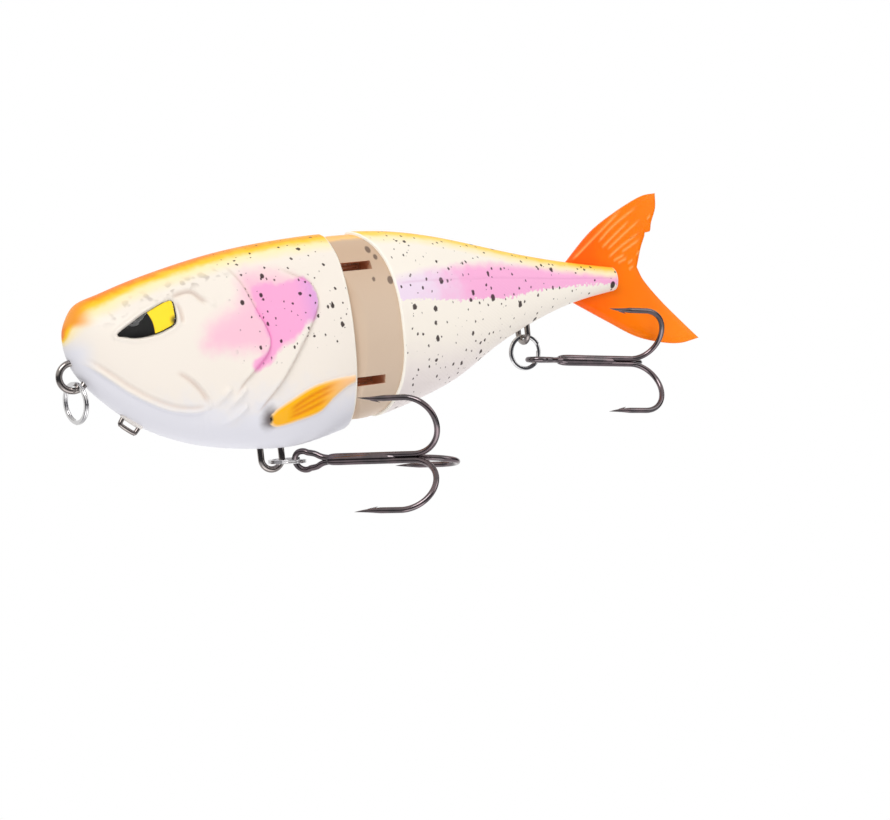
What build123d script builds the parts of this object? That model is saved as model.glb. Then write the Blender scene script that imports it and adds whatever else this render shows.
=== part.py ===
from build123d import *
import os
import numpy as np

# Two-section gliding swimbait. Millimetres. The part is drawn from the nose tip, +X towards the tail,
# +Z up, -Y the fish's left side, and then moved so that the line-tie eye's hole is the origin.

# Body outline: (distance behind the nose, height) along the back and the belly, and (distance,
# half-width). The curves run on the square root of the distance, which rounds off the nose.
BACK = [(0, 0.5), (1.5, 4.9), (3, 7.0), (5, 8.3), (8.6, 9.4), (15, 11.4), (25, 14.0), (40, 17.0),
        (55, 18.6), (70, 19.2), (84, 18.6), (100, 15.7), (120, 10.3), (136, 6.6), (153, 3.6)]
BELLY = [(0, 0.0), (0.9, -5.0), (2.3, -8.5), (4.5, -11.8), (8.4, -15.9), (13.7, -20.5), (22, -25.4),
         (33, -29.1), (45, -31.1), (54, -31.5), (67.5, -29.0), (80, -26.4), (92, -23.2),
         (100.3, -20.1), (111.7, -13.9), (123, -9.0), (136, -4.9), (153, -2.3)]
WIDTH = [(0, 0.0), (0.8, 3.0), (2.5, 5.2), (6, 7.8), (12, 10.4), (22, 12.9), (35, 14.4), (48, 14.9),
         (58, 14.8), (67.5, 14.4), (80, 13.5), (100, 10.8), (120, 7.3), (136, 4.9), (153, 3.3)]
UPPER_POWER = 2.05      # superellipse power of the section above its middle
LOWER_POWER = 2.35      # and below it
BODY_END = 151.3
WALL = 2.0
HALF_SPACE = 60.0       # reach of a cutting block beyond everything it cuts
BOSS_HALF = 2.2         # half-thickness of the solid bosses that hold the wires

# Body joint: a barrel on the rear section turns in a round seat behind the front section's lip.
LIP_X = 67.0
HINGE_X = 74.5
SEAT_GAP = 0.4
BARREL_STEP = 0.7
BARREL_FRONT = 58.0
BARREL_BACK = 84.0
BARREL_TOP = 18.5
BARREL_FOOT = -27.6
BARREL_FLAT = 7.6       # radius of the barrel's flat top, and of its flat foot
BARREL_FOOT_FLAT = 4.0
BARREL_SIDE = [(10.4, 16.9), (12.6, 13.0), (13.5, 8.0), (13.9, 0.0), (14.0, -6.0), (13.8, -12.0),
               (13.0, -18.0), (11.2, -23.0), (7.6, -26.6)]
SHOULDER = [(72.6, 20.5), (75.6, 18.3), (78.0, 14.8), (79.6, 9.5), (80.4, 2.0), (80.6, -6.0),
            (80.5, -13.5), (79.6, -20.0), (77.8, -25.0), (74.2, -30.0)]
BULKHEAD_X = 56.0
UPPER_HINGE_Z = 10.2
LOWER_HINGE_Z = -17.7
HINGE_SLOT = 2.1
SLOT_BACK = 75.0
SLOT_POCKET = 3.3
PIN_R = 1.0
PIN_TOP = 15.0
PIN_FOOT = -22.5
HINGE_WIRE_R = 0.7
HINGE_LOOP_R = 1.9
HINGE_LEG_X = 55.2
HINGE_FOOT = 2.6
GROOVE = 0.03           # moulded grooves are this much larger than the wire they hold

# Distances behind the nose of the sections that each skin or hollow is drawn through
NOSE_STATIONS = [0.08, 0.4, 1.1, 2.2, 4, 7, 11, 16, 23, 32, 42, 52, 60, LIP_X]
FRONT_HOLLOW = [5, 9, 16, 26, 38, 48, BULKHEAD_X]
EYE_STATIONS = [2.2, 4, 7, 11, 16, 23, 32]
BARREL_STATIONS = [BARREL_FRONT, 63, 68, HINGE_X, 79, BARREL_BACK]
REAR_STATIONS = [60, 68, 76, 85, 95, 106, 118, 130, 142, BODY_END]
REAR_HOLLOW = [79, 84, 92, 102, 112, 122, 130]

# Wire eyes, all from the nose tip
TIE_X, TIE_Z = 1.3, -8.7
TIE_LOOP_R = 3.2
TIE_WIRE_R = 0.8
TIE_TAIL = 15.0
TIE_CROSSBAR = 2.5
CHIN_X, CHIN_Z = 14.0, -20.6
CHIN_SLOPE = 39.0
CHIN_WIRE_R = 0.55
CHIN_HALF = 2.2
CHIN_DROP = 2.1
CHIN_LEG = 6.5
BELLY_EYE_X, BELLY_EYE_Z = 47.9, -33.8
BELLY_LOOP_R = 2.7
BELLY_WIRE_R = 0.8
BELLY_LEG_TOP = -23.5
TAIL_EYE_X, TAIL_EYE_Z = 122.0, -10.9
TAIL_LOOP_R = 2.35
TAIL_WIRE_R = 0.75
TAIL_LEG_TOP = -1.5
BELLY_FOOT = 2.0        # how far the feet of the hidden legs turn outwards
TAIL_FOOT = 1.0

# Bosses round the wires: (front, back, foot, top)
TIE_BOSS = (3.5, 17.0, -13.1, -4.3)
CHIN_BOSS = (11.0, 20.0, -24.0, -14.0)
BELLY_BOSS = (41.4, 54.4, -32.0, -21.7)
TAIL_BOSS = (120.0, 124.0, -12.0, 1.5)

# Split rings: radius of the middle of the band, its radial thickness and its width
RING_BAND = 1.0
RING_WIDE = 1.4
LINE_RING_R = 4.5
HOOK_RING_R = 4.2
LINE_RING_TURN = 16.0   # the hanging ring's plane is turned this much off square to the lure
BELLY_RING_TILT = 4.0
BELLY_HOOK_YAW = -50.0
BELLY_HOOK_ROLL = 20.0
TAIL_HOOK_PITCH = 7.2
RING_EDGE = 0.3         # rounding of the band
RING_PLAY = 0.3         # between a ring and the wire it hangs on

# Treble hook, from the middle of its eye hole along its shank
HOOK_WIRE_R = 0.72
HOOK_EYE_R = 2.45
HOOK_EYE_WIRE_R = 0.75
HOOK_NECK = 6.0
SHANK_R = 1.55
SHANK_END = 22.5
SHANK_OFFSET = 0.85
BEND_X = 29.0
BEND_R = 7.2
POINT_X = 17.4
POINT_LENGTH = 5.0
POINT_R = 0.08

# Eye window, seen from the side
EYE_OUTLINE = [(9.9, -0.5), (14.6, 2.4), (19.6, 4.9), (23.4, 6.4), (23.7, 3.6), (23.3, 0.8),
               (20.4, -0.7), (16.4, -1.8), (12.4, -1.5)]
EYE_DEPTH = 1.2
EYE_PRINT = 0.6
EYE_PROUD = 0.15

# Soft tail: a thin fork moulded round a root that is pegged between the rear cheeks
TAIL_UPPER = [(136.5, 5.6), (145.9, 13.6), (154.5, 18.4), (163.1, 22.0), (167.8, 22.6)]
TAIL_UPPER_BACK = [(167.8, 22.6), (167.6, 18.1), (164.6, 12.6), (161.0, 8.2), (159.4, 3.2)]
TAIL_LOWER_BACK = [(159.4, 3.2), (161.2, -0.6), (166.1, -6.5), (173.0, -13.5), (177.4, -17.8)]
TAIL_LOWER = [(177.4, -17.8), (171.0, -18.6), (164.5, -17.6), (157.0, -15.2), (148.5, -10.4),
              (138.0, -4.2)]
TAIL_ROOT_X = 137.0
TAIL_HALF = 1.1
FLEX_X = 154.6
FLEX_GAP = 0.25
PEG_X, PEG_Z = 146.0, 0.6
PEG_R = 0.9
PEG_REACH = 3.0

BALLAST_FRONT = (30.5, -16.5, 4.8, 18.0)   # x, z, radius, length
BALLAST_REAR = (94.0, -11.5, 3.4, 11.0)
CRADLE_RIB = 1.2
SLUG_CHAMFER = 0.6

origin = Pos(-TIE_X, 0, -TIE_Z)

# Where the hanging rings and hooks sit at rest
LINE_RING_Z = TIE_Z - TIE_LOOP_R + TIE_WIRE_R + RING_PLAY - (LINE_RING_R - RING_BAND / 2)
TAIL_RING_Z = TAIL_EYE_Z - TAIL_LOOP_R + TAIL_WIRE_R + RING_PLAY - (HOOK_RING_R - RING_BAND / 2)
BELLY_PIVOT = Pos(47.7, 0, -34.7)
TAIL_LINK = Pos(3.5, 0, -2.32)


def curve(points):
    """A smooth curve through the points, as a function of the distance behind the nose."""
    x = np.sqrt([p[0] for p in points])
    y = np.array([p[1] for p in points], float)
    gap = np.diff(x)
    slope = np.diff(y) / gap
    table = np.eye(len(x))
    right = np.zeros(len(x))
    for i in range(1, len(x) - 1):
        table[i, i - 1:i + 2] = [gap[i - 1], 2 * (gap[i - 1] + gap[i]), gap[i]]
        right[i] = 6 * (slope[i] - slope[i - 1])
    bend = np.linalg.solve(table, right)

    def value(distance):
        q = np.sqrt(distance)
        i = int(np.clip(np.searchsorted(x, q) - 1, 0, len(gap) - 1))
        t, h = q - x[i], gap[i]
        linear = slope[i] - h * (2 * bend[i] + bend[i + 1]) / 6
        return float(y[i] + t * linear + t * t * bend[i] / 2 + t ** 3 * (bend[i + 1] - bend[i]) / (6 * h))

    return value


back, belly, width = curve(BACK), curve(BELLY), curve(WIDTH)


def flat_face(*pieces):
    """A flat face inside curves that join end to end."""
    return Face(Wire([edge for piece in pieces for edge in piece.edges()]))


def half_section(x, inset):
    """The left half of the body's section at x, moved in by inset, as a face."""
    top, foot, wide = back(x) - inset, belly(x) + inset, width(x) - inset
    middle = (top + foot) / 2
    points = []
    for angle in np.linspace(0, np.pi, 15):
        c, s = -np.cos(angle), abs(np.sin(angle))
        power = UPPER_POWER if c >= 0 else LOWER_POWER
        height = (top - middle) * np.sign(c) * abs(c) ** (2 / power)
        points.append((x, -wide * s ** (2 / power), middle + height))
    points[0] = (x, 0, foot)
    points[-1] = (x, 0, top)
    rim = Spline(*points)
    return flat_face(rim, Line(points[-1], points[0]))


def half_body(stations, inset=0.0):
    return Solid.make_loft([half_section(x, inset).outer_wire() for x in stations])


def mirrored(part):
    return mirror(part, about=Plane.XZ)


def block(x0, x1, y0, y1, z0, z1):
    return Pos((x0 + x1) / 2, (y0 + y1) / 2, (z0 + z1) / 2) * Box(x1 - x0, y1 - y0, z1 - z0)


def left_block(boss, half):
    """The left half of a block given as (front, back, foot, top)."""
    front, back_, foot, top = boss
    return block(front, back_, -half, 0, foot, top)


def rod(start, end, radius):
    a, b = Vector(*start), Vector(*end)
    from_start = (Align.CENTER, Align.CENTER, Align.MIN)
    return Plane(a, z_dir=b - a) * Cylinder(radius, (b - a).length, align=from_start)


def hairpin(at, loop_r, wire_r, leg, foot):
    """A wire bent to a U with its loop at the origin, legs along +Z and feet turned outwards."""
    bend = Rot(90, 0, 0) * Torus(loop_r, wire_r) & block(-9, 9, -9, 9, -9, 0)
    wire = bend
    for side in (-1, 1):
        wire += rod((side * loop_r, 0, 0), (side * loop_r, 0, leg), wire_r)
        wire += Pos(side * loop_r, 0, leg) * Sphere(wire_r)
        wire += rod((side * loop_r, 0, leg), (side * (loop_r + foot), 0, leg), wire_r)
    return at * wire


def nose_eye(extra=0.0):
    wire = Pos(TIE_X, 0, TIE_Z) * Rot(90, 0, 0) * Torus(TIE_LOOP_R, TIE_WIRE_R + extra)
    wire += rod((TIE_X + TIE_LOOP_R, 0, TIE_Z), (TIE_TAIL, 0, TIE_Z), TIE_WIRE_R + extra)
    ends = (TIE_TAIL, 0, TIE_Z - TIE_CROSSBAR), (TIE_TAIL, 0, TIE_Z + TIE_CROSSBAR)
    wire += rod(*ends, TIE_WIRE_R + extra)
    return wire


def chin_eye(extra=0.0):
    at = Pos(CHIN_X, 0, CHIN_Z) * Rot(0, CHIN_SLOPE, 0)
    legs = rod((-CHIN_HALF, 0, -CHIN_DROP), (CHIN_HALF, 0, -CHIN_DROP), CHIN_WIRE_R + extra)
    for side in (-CHIN_HALF, CHIN_HALF):
        legs += Pos(side, 0, -CHIN_DROP) * Sphere(CHIN_WIRE_R + extra)
        legs += rod((side, 0, -CHIN_DROP), (side, 0, CHIN_LEG), CHIN_WIRE_R + extra)
    return at * legs


def belly_hanger(extra=0.0):
    at = Pos(BELLY_EYE_X, 0, BELLY_EYE_Z)
    return hairpin(at, BELLY_LOOP_R, BELLY_WIRE_R + extra, BELLY_LEG_TOP - BELLY_EYE_Z, BELLY_FOOT)


def tail_hanger(extra=0.0):
    at = Pos(TAIL_EYE_X, 0, TAIL_EYE_Z) * Rot(0, 0, 90)
    return hairpin(at, TAIL_LOOP_R, TAIL_WIRE_R + extra, TAIL_LEG_TOP - TAIL_EYE_Z, TAIL_FOOT)


def hinge_eye(z, extra=0.0):
    at = Pos(HINGE_X, 0, z) * Rot(0, -90, 0) * Rot(0, 0, 90)
    return hairpin(at, HINGE_LOOP_R, HINGE_WIRE_R + extra, HINGE_X - HINGE_LEG_X, HINGE_FOOT)


def barrel_profile(gap):
    """Half outline of the barrel in the XZ plane, out from the hinge axis."""
    top, foot = BARREL_TOP + gap, BARREL_FOOT - gap
    side = [(r + gap, z) for r, z in BARREL_SIDE]
    upper = (BARREL_FLAT + gap, 0, top)
    lower = (BARREL_FOOT_FLAT, 0, foot)
    edge = Spline(upper, *[(r, 0, z) for r, z in side], lower)
    cap = Line((0, 0, top), upper)
    base = Line(lower, (0, 0, foot))
    axis = Line((0, 0, foot), (0, 0, top))
    return flat_face(cap, edge, base, axis)


def turned_barrel(gap):
    """The round space that the barrel sweeps about the hinge axis, grown by gap."""
    return Pos(HINGE_X, 0, 0) * revolve(barrel_profile(gap), Axis.Z, 360)


def barrel_half():
    """Left half of the barrel: round in front of the hinge axis, straight behind it."""
    skin = half_body(BARREL_STATIONS, BARREL_STEP)
    front = turned_barrel(0) & block(BARREL_FRONT, HINGE_X, -HALF_SPACE, 0, -HALF_SPACE, HALF_SPACE)
    rear = skin & block(HINGE_X, BARREL_BACK, -HALF_SPACE, 0, -HALF_SPACE, HALF_SPACE)
    return (front & skin) + rear


def shoulder_cut():
    """Everything in front of the rear section's painted shoulder."""
    edge = Spline(*[(x, 0, z) for x, z in SHOULDER])
    first, last = SHOULDER[0], SHOULDER[-1]
    ahead = BARREL_FRONT - WALL
    corners = [(ahead, 0, -HALF_SPACE), (ahead, 0, HALF_SPACE)]
    front = Polyline((last[0], 0, last[1]), *corners, (first[0], 0, first[1]))
    return extrude(flat_face(edge, front), HALF_SPACE, dir=(0, 1, 0), both=True)


def hinge_slot(z):
    """A level slot that lets the hinge wire swing to either side."""
    low, high = z - HINGE_SLOT / 2, z + HINGE_SLOT / 2
    open_front = block(BARREL_FRONT - WALL, SLOT_BACK, -HALF_SPACE, HALF_SPACE, low, high)
    return open_front + Pos(HINGE_X, 0, z) * Cylinder(SLOT_POCKET, HINGE_SLOT)


def eye_prism():
    """The eye's window, cut straight in from the left."""
    points = [(x, 0, z) for x, z in EYE_OUTLINE]
    rim = Spline(*points[3:], points[0])
    brow = Polyline(*points[:4])
    return extrude(flat_face(rim, brow), HALF_SPACE, dir=(0, -1, 0))


def eye_layers():
    """The printed eye, its clear dome and the pocket for both, as layers of the left cheek."""
    window = eye_prism()
    layers = [window & half_body(EYE_STATIONS, depth) for depth in (EYE_DEPTH, EYE_PRINT, -EYE_PROUD)]
    bottom, middle, top = layers
    return middle - bottom, top - middle, top - bottom


def cradle(slug_size, skin):
    """Two ribs under a ballast slug, hollowed to its round."""
    x, z, radius, length = slug_size
    half = CRADLE_RIB / 2
    first, second = [left_block((at - half, at + half, -HALF_SPACE, z + 2), HALF_SPACE)
                     for at in (x - length / 3, x + length / 3)]
    return ((first + second) & skin) - slug(x, z, radius + GROOVE, 2 * length)


def front_shell(eye_pocket):
    skin = half_body(NOSE_STATIONS)
    shell = skin - half_body(FRONT_HOLLOW, WALL)
    shell += cradle(BALLAST_FRONT, skin)
    shell -= turned_barrel(SEAT_GAP)
    shell -= eye_pocket
    for z in (UPPER_HINGE_Z, LOWER_HINGE_Z):
        shell -= hinge_eye(z, GROOVE)
    for boss in (TIE_BOSS, BELLY_BOSS, CHIN_BOSS):
        shell += left_block(boss, BOSS_HALF) & skin
    for wire in (nose_eye, belly_hanger, chin_eye):
        shell -= wire(GROOVE)
    return shell


def rear_shell():
    skin = half_body(REAR_STATIONS)
    shell = (skin - shoulder_cut()) + barrel_half()
    shell -= half_body(REAR_HOLLOW, WALL)
    shell += cradle(BALLAST_REAR, skin)
    for z in (UPPER_HINGE_Z, LOWER_HINGE_Z):
        shell -= hinge_slot(z)
    shell -= hinge_pin(GROOVE)
    shell += left_block(TAIL_BOSS, HALF_SPACE) & skin
    shell -= tail_hanger(GROOVE)
    shell -= left_block((TAIL_ROOT_X - 0.5, BODY_END + 1, -HALF_SPACE, HALF_SPACE), TAIL_HALF + GROOVE)
    shell += rod((PEG_X, -PEG_REACH, PEG_Z), (PEG_X, 0, PEG_Z), PEG_R - GROOVE)
    return shell


def hinge_pin(extra=0.0):
    return rod((HINGE_X, 0, PIN_FOOT), (HINGE_X, 0, PIN_TOP), PIN_R + extra)


def slug(x, z, radius, length):
    bar = Rot(0, 90, 0) * Cylinder(radius, length)
    return Pos(x, 0, z) * chamfer(bar.edges(), SLUG_CHAMFER)


def split_ring(radius):
    """A ring lying flat about the origin."""
    band = Cylinder(radius + RING_BAND / 2, RING_WIDE) - Cylinder(radius - RING_BAND / 2, RING_WIDE)
    return fillet(band.edges(), RING_EDGE)


def prong():
    """One hook of the treble in the XZ plane, bending towards +Z."""
    middle = SHANK_OFFSET + BEND_R
    crown = SHANK_OFFSET + 2 * BEND_R
    circle = Pos(BEND_X, 0, middle) * Rot(90, 0, 0) * Torus(BEND_R, HOOK_WIRE_R)
    bend = circle & block(BEND_X, BEND_X + 2 * BEND_R, -3, 3, -3, 3 * BEND_R)
    shaft = rod((HOOK_NECK + 2, 0, SHANK_OFFSET), (BEND_X, 0, SHANK_OFFSET), HOOK_WIRE_R)
    point_start = POINT_X + POINT_LENGTH
    spear = rod((point_start, 0, crown), (BEND_X, 0, crown), HOOK_WIRE_R)
    tip = Cone(HOOK_WIRE_R, POINT_R, POINT_LENGTH, align=(Align.CENTER, Align.CENTER, Align.MIN))
    return bend + shaft + spear + Plane((point_start, 0, crown), z_dir=(-1, 0, 0)) * tip


def treble():
    """Three hooks about the X axis, with the eye's hole at the origin in the XZ plane."""
    hook = Rot(90, 0, 0) * Torus(HOOK_EYE_R, HOOK_EYE_WIRE_R)
    hook += rod((HOOK_EYE_R, 0, 0), (HOOK_NECK + 1, 0, 0), HOOK_EYE_WIRE_R)
    hook += rod((HOOK_NECK, 0, 0), (SHANK_END, 0, 0), SHANK_R)
    for turn in (0, 120, 240):
        hook += Rot(turn, 0, 0) * prong()
    return hook


def line_ring():
    at = Pos(TIE_X, 0, LINE_RING_Z) * Rot(0, 0, LINE_RING_TURN) * Rot(0, 90, 0)
    return at * split_ring(LINE_RING_R)


def belly_ring_at():
    return BELLY_PIVOT * Rot(0, BELLY_RING_TILT, 0) * Pos(HOOK_RING_R, 0, 0)


def belly_treble():
    link = Pos(HOOK_RING_R + 0.4, 0, 0)
    return belly_ring_at() * Rot(0, 0, BELLY_HOOK_YAW) * link * Rot(BELLY_HOOK_ROLL, 0, 0) * treble()


def tail_ring():
    return Pos(TAIL_EYE_X, 0, TAIL_RING_Z) * Rot(90, 0, 0) * split_ring(HOOK_RING_R)


def tail_treble():
    at = Pos(TAIL_EYE_X, 0, TAIL_RING_Z) * TAIL_LINK * Rot(0, TAIL_HOOK_PITCH, 0)
    return at * Rot(-90, 0, 0) * treble()


def tail_outline():
    upper = Spline(*[(x, 0, z) for x, z in TAIL_UPPER])
    upper_back = Spline(*[(x, 0, z) for x, z in TAIL_UPPER_BACK])
    lower_back = Spline(*[(x, 0, z) for x, z in TAIL_LOWER_BACK])
    lower = Spline(*[(x, 0, z) for x, z in TAIL_LOWER])
    front = Line(lower @ 1, upper @ 0)
    return flat_face(upper, upper_back, lower_back, lower, front)


def tail_parts():
    """The soft tail, split at the body's end into its held root and its free fin."""
    plate = extrude(tail_outline(), TAIL_HALF, dir=(0, 1, 0), both=True)
    behind = block(FLEX_X, 4 * HALF_SPACE, -3, 3, -HALF_SPACE, HALF_SPACE)
    hollow_edge = Pos(FLEX_X, 0, 0) * Cylinder(TAIL_HALF + FLEX_GAP, 2 * HALF_SPACE)
    round_edge = Pos(FLEX_X, 0, 0) * Cylinder(TAIL_HALF, 2 * HALF_SPACE)
    root = plate - behind - hollow_edge
    root -= rod((PEG_X, -PEG_REACH, PEG_Z), (PEG_X, PEG_REACH, PEG_Z), PEG_R)
    return root, plate & (behind + round_edge)


def write(name, part):
    solids = (origin * part).solids()
    whole = solids[0] if len(solids) == 1 else Compound(solids)
    export_step(whole, f"parts/{name}.step")
    print(name, len(solids), round(whole.volume, 1))


def main():
    os.makedirs("parts", exist_ok=True)
    disc, dome, pocket = eye_layers()
    halves = {"front_shell": front_shell(pocket), "rear_shell": rear_shell()}
    for name, half in halves.items():
        write(name + "_left", half)
        write(name + "_right", mirrored(half))
    for name, layer in (("eye_disc", disc), ("eye_dome", dome)):
        write("left_" + name, layer)
        write("right_" + name, mirrored(layer))
    for wire in (nose_eye, chin_eye, belly_hanger, tail_hanger, hinge_pin):
        write(wire.__name__, wire())
    write("upper_hinge_eye", hinge_eye(UPPER_HINGE_Z))
    write("lower_hinge_eye", hinge_eye(LOWER_HINGE_Z))
    write("front_ballast", slug(*BALLAST_FRONT))
    write("rear_ballast", slug(*BALLAST_REAR))
    write("belly_ring", belly_ring_at() * split_ring(HOOK_RING_R))
    for hanging in (line_ring, tail_ring, belly_treble, tail_treble):
        write(hanging.__name__, hanging())
    root, fin = tail_parts()
    write("tail_root", root)
    write("tail_fin", fin)


main()
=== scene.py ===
import math
import bmesh
import bpy
import numpy as np
from mathutils import Matrix, Vector


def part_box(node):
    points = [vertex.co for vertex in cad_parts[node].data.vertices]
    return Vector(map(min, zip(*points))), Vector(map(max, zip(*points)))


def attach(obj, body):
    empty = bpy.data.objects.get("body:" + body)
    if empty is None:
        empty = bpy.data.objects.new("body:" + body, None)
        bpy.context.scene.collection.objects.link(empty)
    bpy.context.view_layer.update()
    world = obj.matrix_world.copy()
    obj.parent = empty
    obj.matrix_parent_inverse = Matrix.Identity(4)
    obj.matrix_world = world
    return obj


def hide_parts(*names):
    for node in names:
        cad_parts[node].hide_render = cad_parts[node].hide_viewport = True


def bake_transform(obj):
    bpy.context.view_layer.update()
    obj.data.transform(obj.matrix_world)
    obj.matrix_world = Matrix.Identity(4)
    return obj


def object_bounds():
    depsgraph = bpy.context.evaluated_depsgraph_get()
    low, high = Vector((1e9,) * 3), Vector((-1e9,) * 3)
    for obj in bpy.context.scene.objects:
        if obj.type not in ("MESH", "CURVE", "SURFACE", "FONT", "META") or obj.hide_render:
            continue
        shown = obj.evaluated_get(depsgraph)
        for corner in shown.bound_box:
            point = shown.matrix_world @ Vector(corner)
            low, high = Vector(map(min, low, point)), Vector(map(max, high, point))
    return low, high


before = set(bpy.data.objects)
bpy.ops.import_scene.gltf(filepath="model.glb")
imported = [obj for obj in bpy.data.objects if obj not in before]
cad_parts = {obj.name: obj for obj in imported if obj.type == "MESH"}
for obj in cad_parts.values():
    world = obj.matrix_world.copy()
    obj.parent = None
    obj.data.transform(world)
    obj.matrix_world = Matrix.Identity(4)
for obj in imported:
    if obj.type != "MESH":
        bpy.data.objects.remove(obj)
cad_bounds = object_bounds()

MM = 0.001
# The lure is drawn in millimetres from its nose tip, which stands this far from the line-tie eye.
TIE_DROP = 8.7
TIE = sum(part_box("nose_eye"), Vector()) / 2
NOSE = np.array([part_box("front_shell_left")[0].x / MM - 0.08, 0.0, TIE.z / MM + TIE_DROP])

# Body outline: (distance behind the nose, height) of the back and belly, and half-width
BACK = [(0, 0.5), (1.5, 4.9), (3, 7.0), (5, 8.3), (8.6, 9.4), (15, 11.4), (25, 14.0), (40, 17.0),
        (55, 18.6), (70, 19.2), (84, 18.6), (100, 15.7), (120, 10.3), (136, 6.6), (153, 3.6)]
BELLY = [(0, 0.0), (0.9, -5.0), (2.3, -8.5), (4.5, -11.8), (8.4, -15.9), (13.7, -20.5), (22, -25.4),
         (33, -29.1), (45, -31.1), (54, -31.5), (67.5, -29.0), (80, -26.4), (92, -23.2),
         (100.3, -20.1), (111.7, -13.9), (123, -9.0), (136, -4.9), (153, -2.3)]
WIDTH = [(0, 0.0), (0.8, 3.0), (2.5, 5.2), (6, 7.8), (12, 10.4), (22, 12.9), (35, 14.4), (48, 14.9),
         (58, 14.8), (67.5, 14.4), (80, 13.5), (100, 10.8), (120, 7.3), (136, 4.9), (153, 3.3)]
UPPER_POWER = 2.05
LOWER_POWER = 2.35
LIP_X = 67.0
LIP_START = 60.0
BODY_END = 151.3
HINGE_X = 74.5
SEAT_GAP = 0.4
BARREL_STEP = 0.7
BARREL_BACK = 84.0
BARREL_SIDE = [(-27.6, 0.0), (-27.5, 4.0), (-26.6, 7.6), (-23.0, 11.2), (-18.0, 13.0), (-12.0, 13.8),
               (-6.0, 14.0), (0.0, 13.9), (8.0, 13.4), (13.0, 11.7), (16.9, 9.3), (18.3, 7.0),
               (18.5, 0.0)]
SHOULDER = [(-30.0, 74.2), (-25.0, 77.8), (-20.0, 79.6), (-13.5, 80.5), (-6.0, 80.6), (2.0, 80.4),
            (9.5, 79.6), (14.8, 78.0), (18.3, 75.6), (20.5, 72.6)]
HINGE_HEIGHTS = (10.2, -17.7)
SLOT_HEIGHT = 2.1
SLOT_BACK = 75.0
SLOT_POCKET = 3.3

# Lines and edges of the face and fins, in side view: (distance behind the nose, height)
MOUTH = [(1.6, -4.6), (4.2, -6.6), (7.9, -9.9), (11.8, -13.3), (16.5, -16.5), (21.0, -18.7), (25.0, -19.6),
         (27.8, -19.5), (28.7, -18.4)]
JAW = [(21.6, -10.0), (24.4, -12.0), (27.0, -14.9), (28.5, -17.4), (28.7, -18.6)]
BROW = [(23.3, 6.8), (26.1, 7.7), (27.9, 7.9), (29.0, 7.4), (30.2, 6.0), (31.9, 4.6)]
EYE_CREASE = [(24.2, 6.2), (24.9, 3.4), (24.9, 0.4)]
EYE_RIM = [(10.0, -0.2), (14.1, 2.5), (17.4, 4.3), (23.2, 6.5), (23.7, 3.6), (23.1, 0.9), (20.6, -0.4),
           (18.3, -1.1), (14.5, -1.5), (12.0, -1.1)]
PUPIL_EDGE = [(17.3, 4.4), (18.2, 1.7), (18.3, -1.3)]
EYE_LONG = 9.2
EYE_TALL = 5.2
CHEEK_EDGE = [(37.6, 13.6), (39.1, 11.8), (40.5, 8.9), (42.5, 2.6), (44.3, -2.1), (44.9, -5.3), (43.8, -8.3),
              (40.4, -11.7), (37.5, -14.5), (35.1, -17.7)]
GILL_EDGE = [(50.0, 12.0), (54.5, 9.2), (57.5, 7.3), (58.6, 4.3), (58.5, 2.0), (56.9, -1.1), (54.2, -5.3),
             (50.9, -10.0), (47.3, -14.7), (43.7, -18.7), (40.1, -22.7)]
GILL_RAYS = [[(38.2, -15.3), (35.5, -18.2), (32.4, -20.8)], [(38.6, -19.4), (35.1, -22.2), (31.7, -24.2)],
             [(34.6, -15.0), (32.0, -17.4), (29.6, -19.6)]]
FIN_TOP = [(43.7, -23.0), (45.4, -21.5), (49.5, -19.4), (54.5, -17.2), (60.0, -16.1), (66.6, -15.7)]
FIN_FOOT = [(66.6, -17.6), (63.9, -18.6), (60.5, -20.8), (56.8, -23.8), (51.2, -25.2), (45.8, -26.0),
            (43.8, -25.0)]
FIN_ROOT = (44.0, -23.5)
FIN_RAYS = [[(48.0, -22.6), (54.0, -19.6), (62.0, -17.0)], [(48.0, -23.4), (54.0, -21.0), (61.5, -18.2)],
            [(48.0, -24.2), (53.5, -22.6), (59.5, -20.4)]]
BLUSH = [(43.2, 8.0), (47.5, 8.3), (51.3, 7.7), (56.0, 8.7), (57.8, 6.3), (58.5, 3.0), (56.9, -0.6),
         (54.2, -3.3), (52.1, -5.0), (49.3, -6.4), (46.2, -8.6), (44.0, -10.6), (40.3, -12.2),
         (39.4, -10.5), (43.9, -6.4),
         (43.6, -2.6), (42.0, 2.6)]
HAZE = [(38.6, 9.5), (41.0, 12.6), (47.0, 12.8), (52.8, 11.2), (56.0, 8.6), (54.0, 3.0), (50.0, -4.0),
        (44.0, -10.0), (40.0, -9.4), (33.2, -8.4), (27.9, -7.0), (27.5, -2.5), (30.0, 1.2), (36.5, 4.6)]
BAND_TOP = [(76.0, 5.6), (88.0, 7.8), (104.0, 8.4), (120.6, 6.9), (133.0, 4.8), (145.6, 3.1), (152.0, 2.7)]
BAND_FOOT = [(152.0, -0.9), (145.0, -0.4), (131.6, -0.1), (121.5, -0.5), (114.8, -1.4), (105.2, -0.9),
             (92.9, -0.1), (86.9, 0.6), (76.0, 1.2)]
LATERAL = [(80.0, 5.2), (93.8, 4.8), (112.5, 3.8), (131.9, 2.1), (149.0, 0.9)]
SPOTS = [(76.0, 14.0, 0.7), (77.2, 12.0, 0.55), (79.4, 6.0, 0.8), (74.9, 6.6, 0.45), (149.2, -0.9, 0.75),
         (39.4, 4.1, 0.5), (41.4, 5.6, 0.35), (46.2, 9.9, 0.5), (44.6, 5.4, 0.45), (62.1, 1.2, 0.5)]

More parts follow.
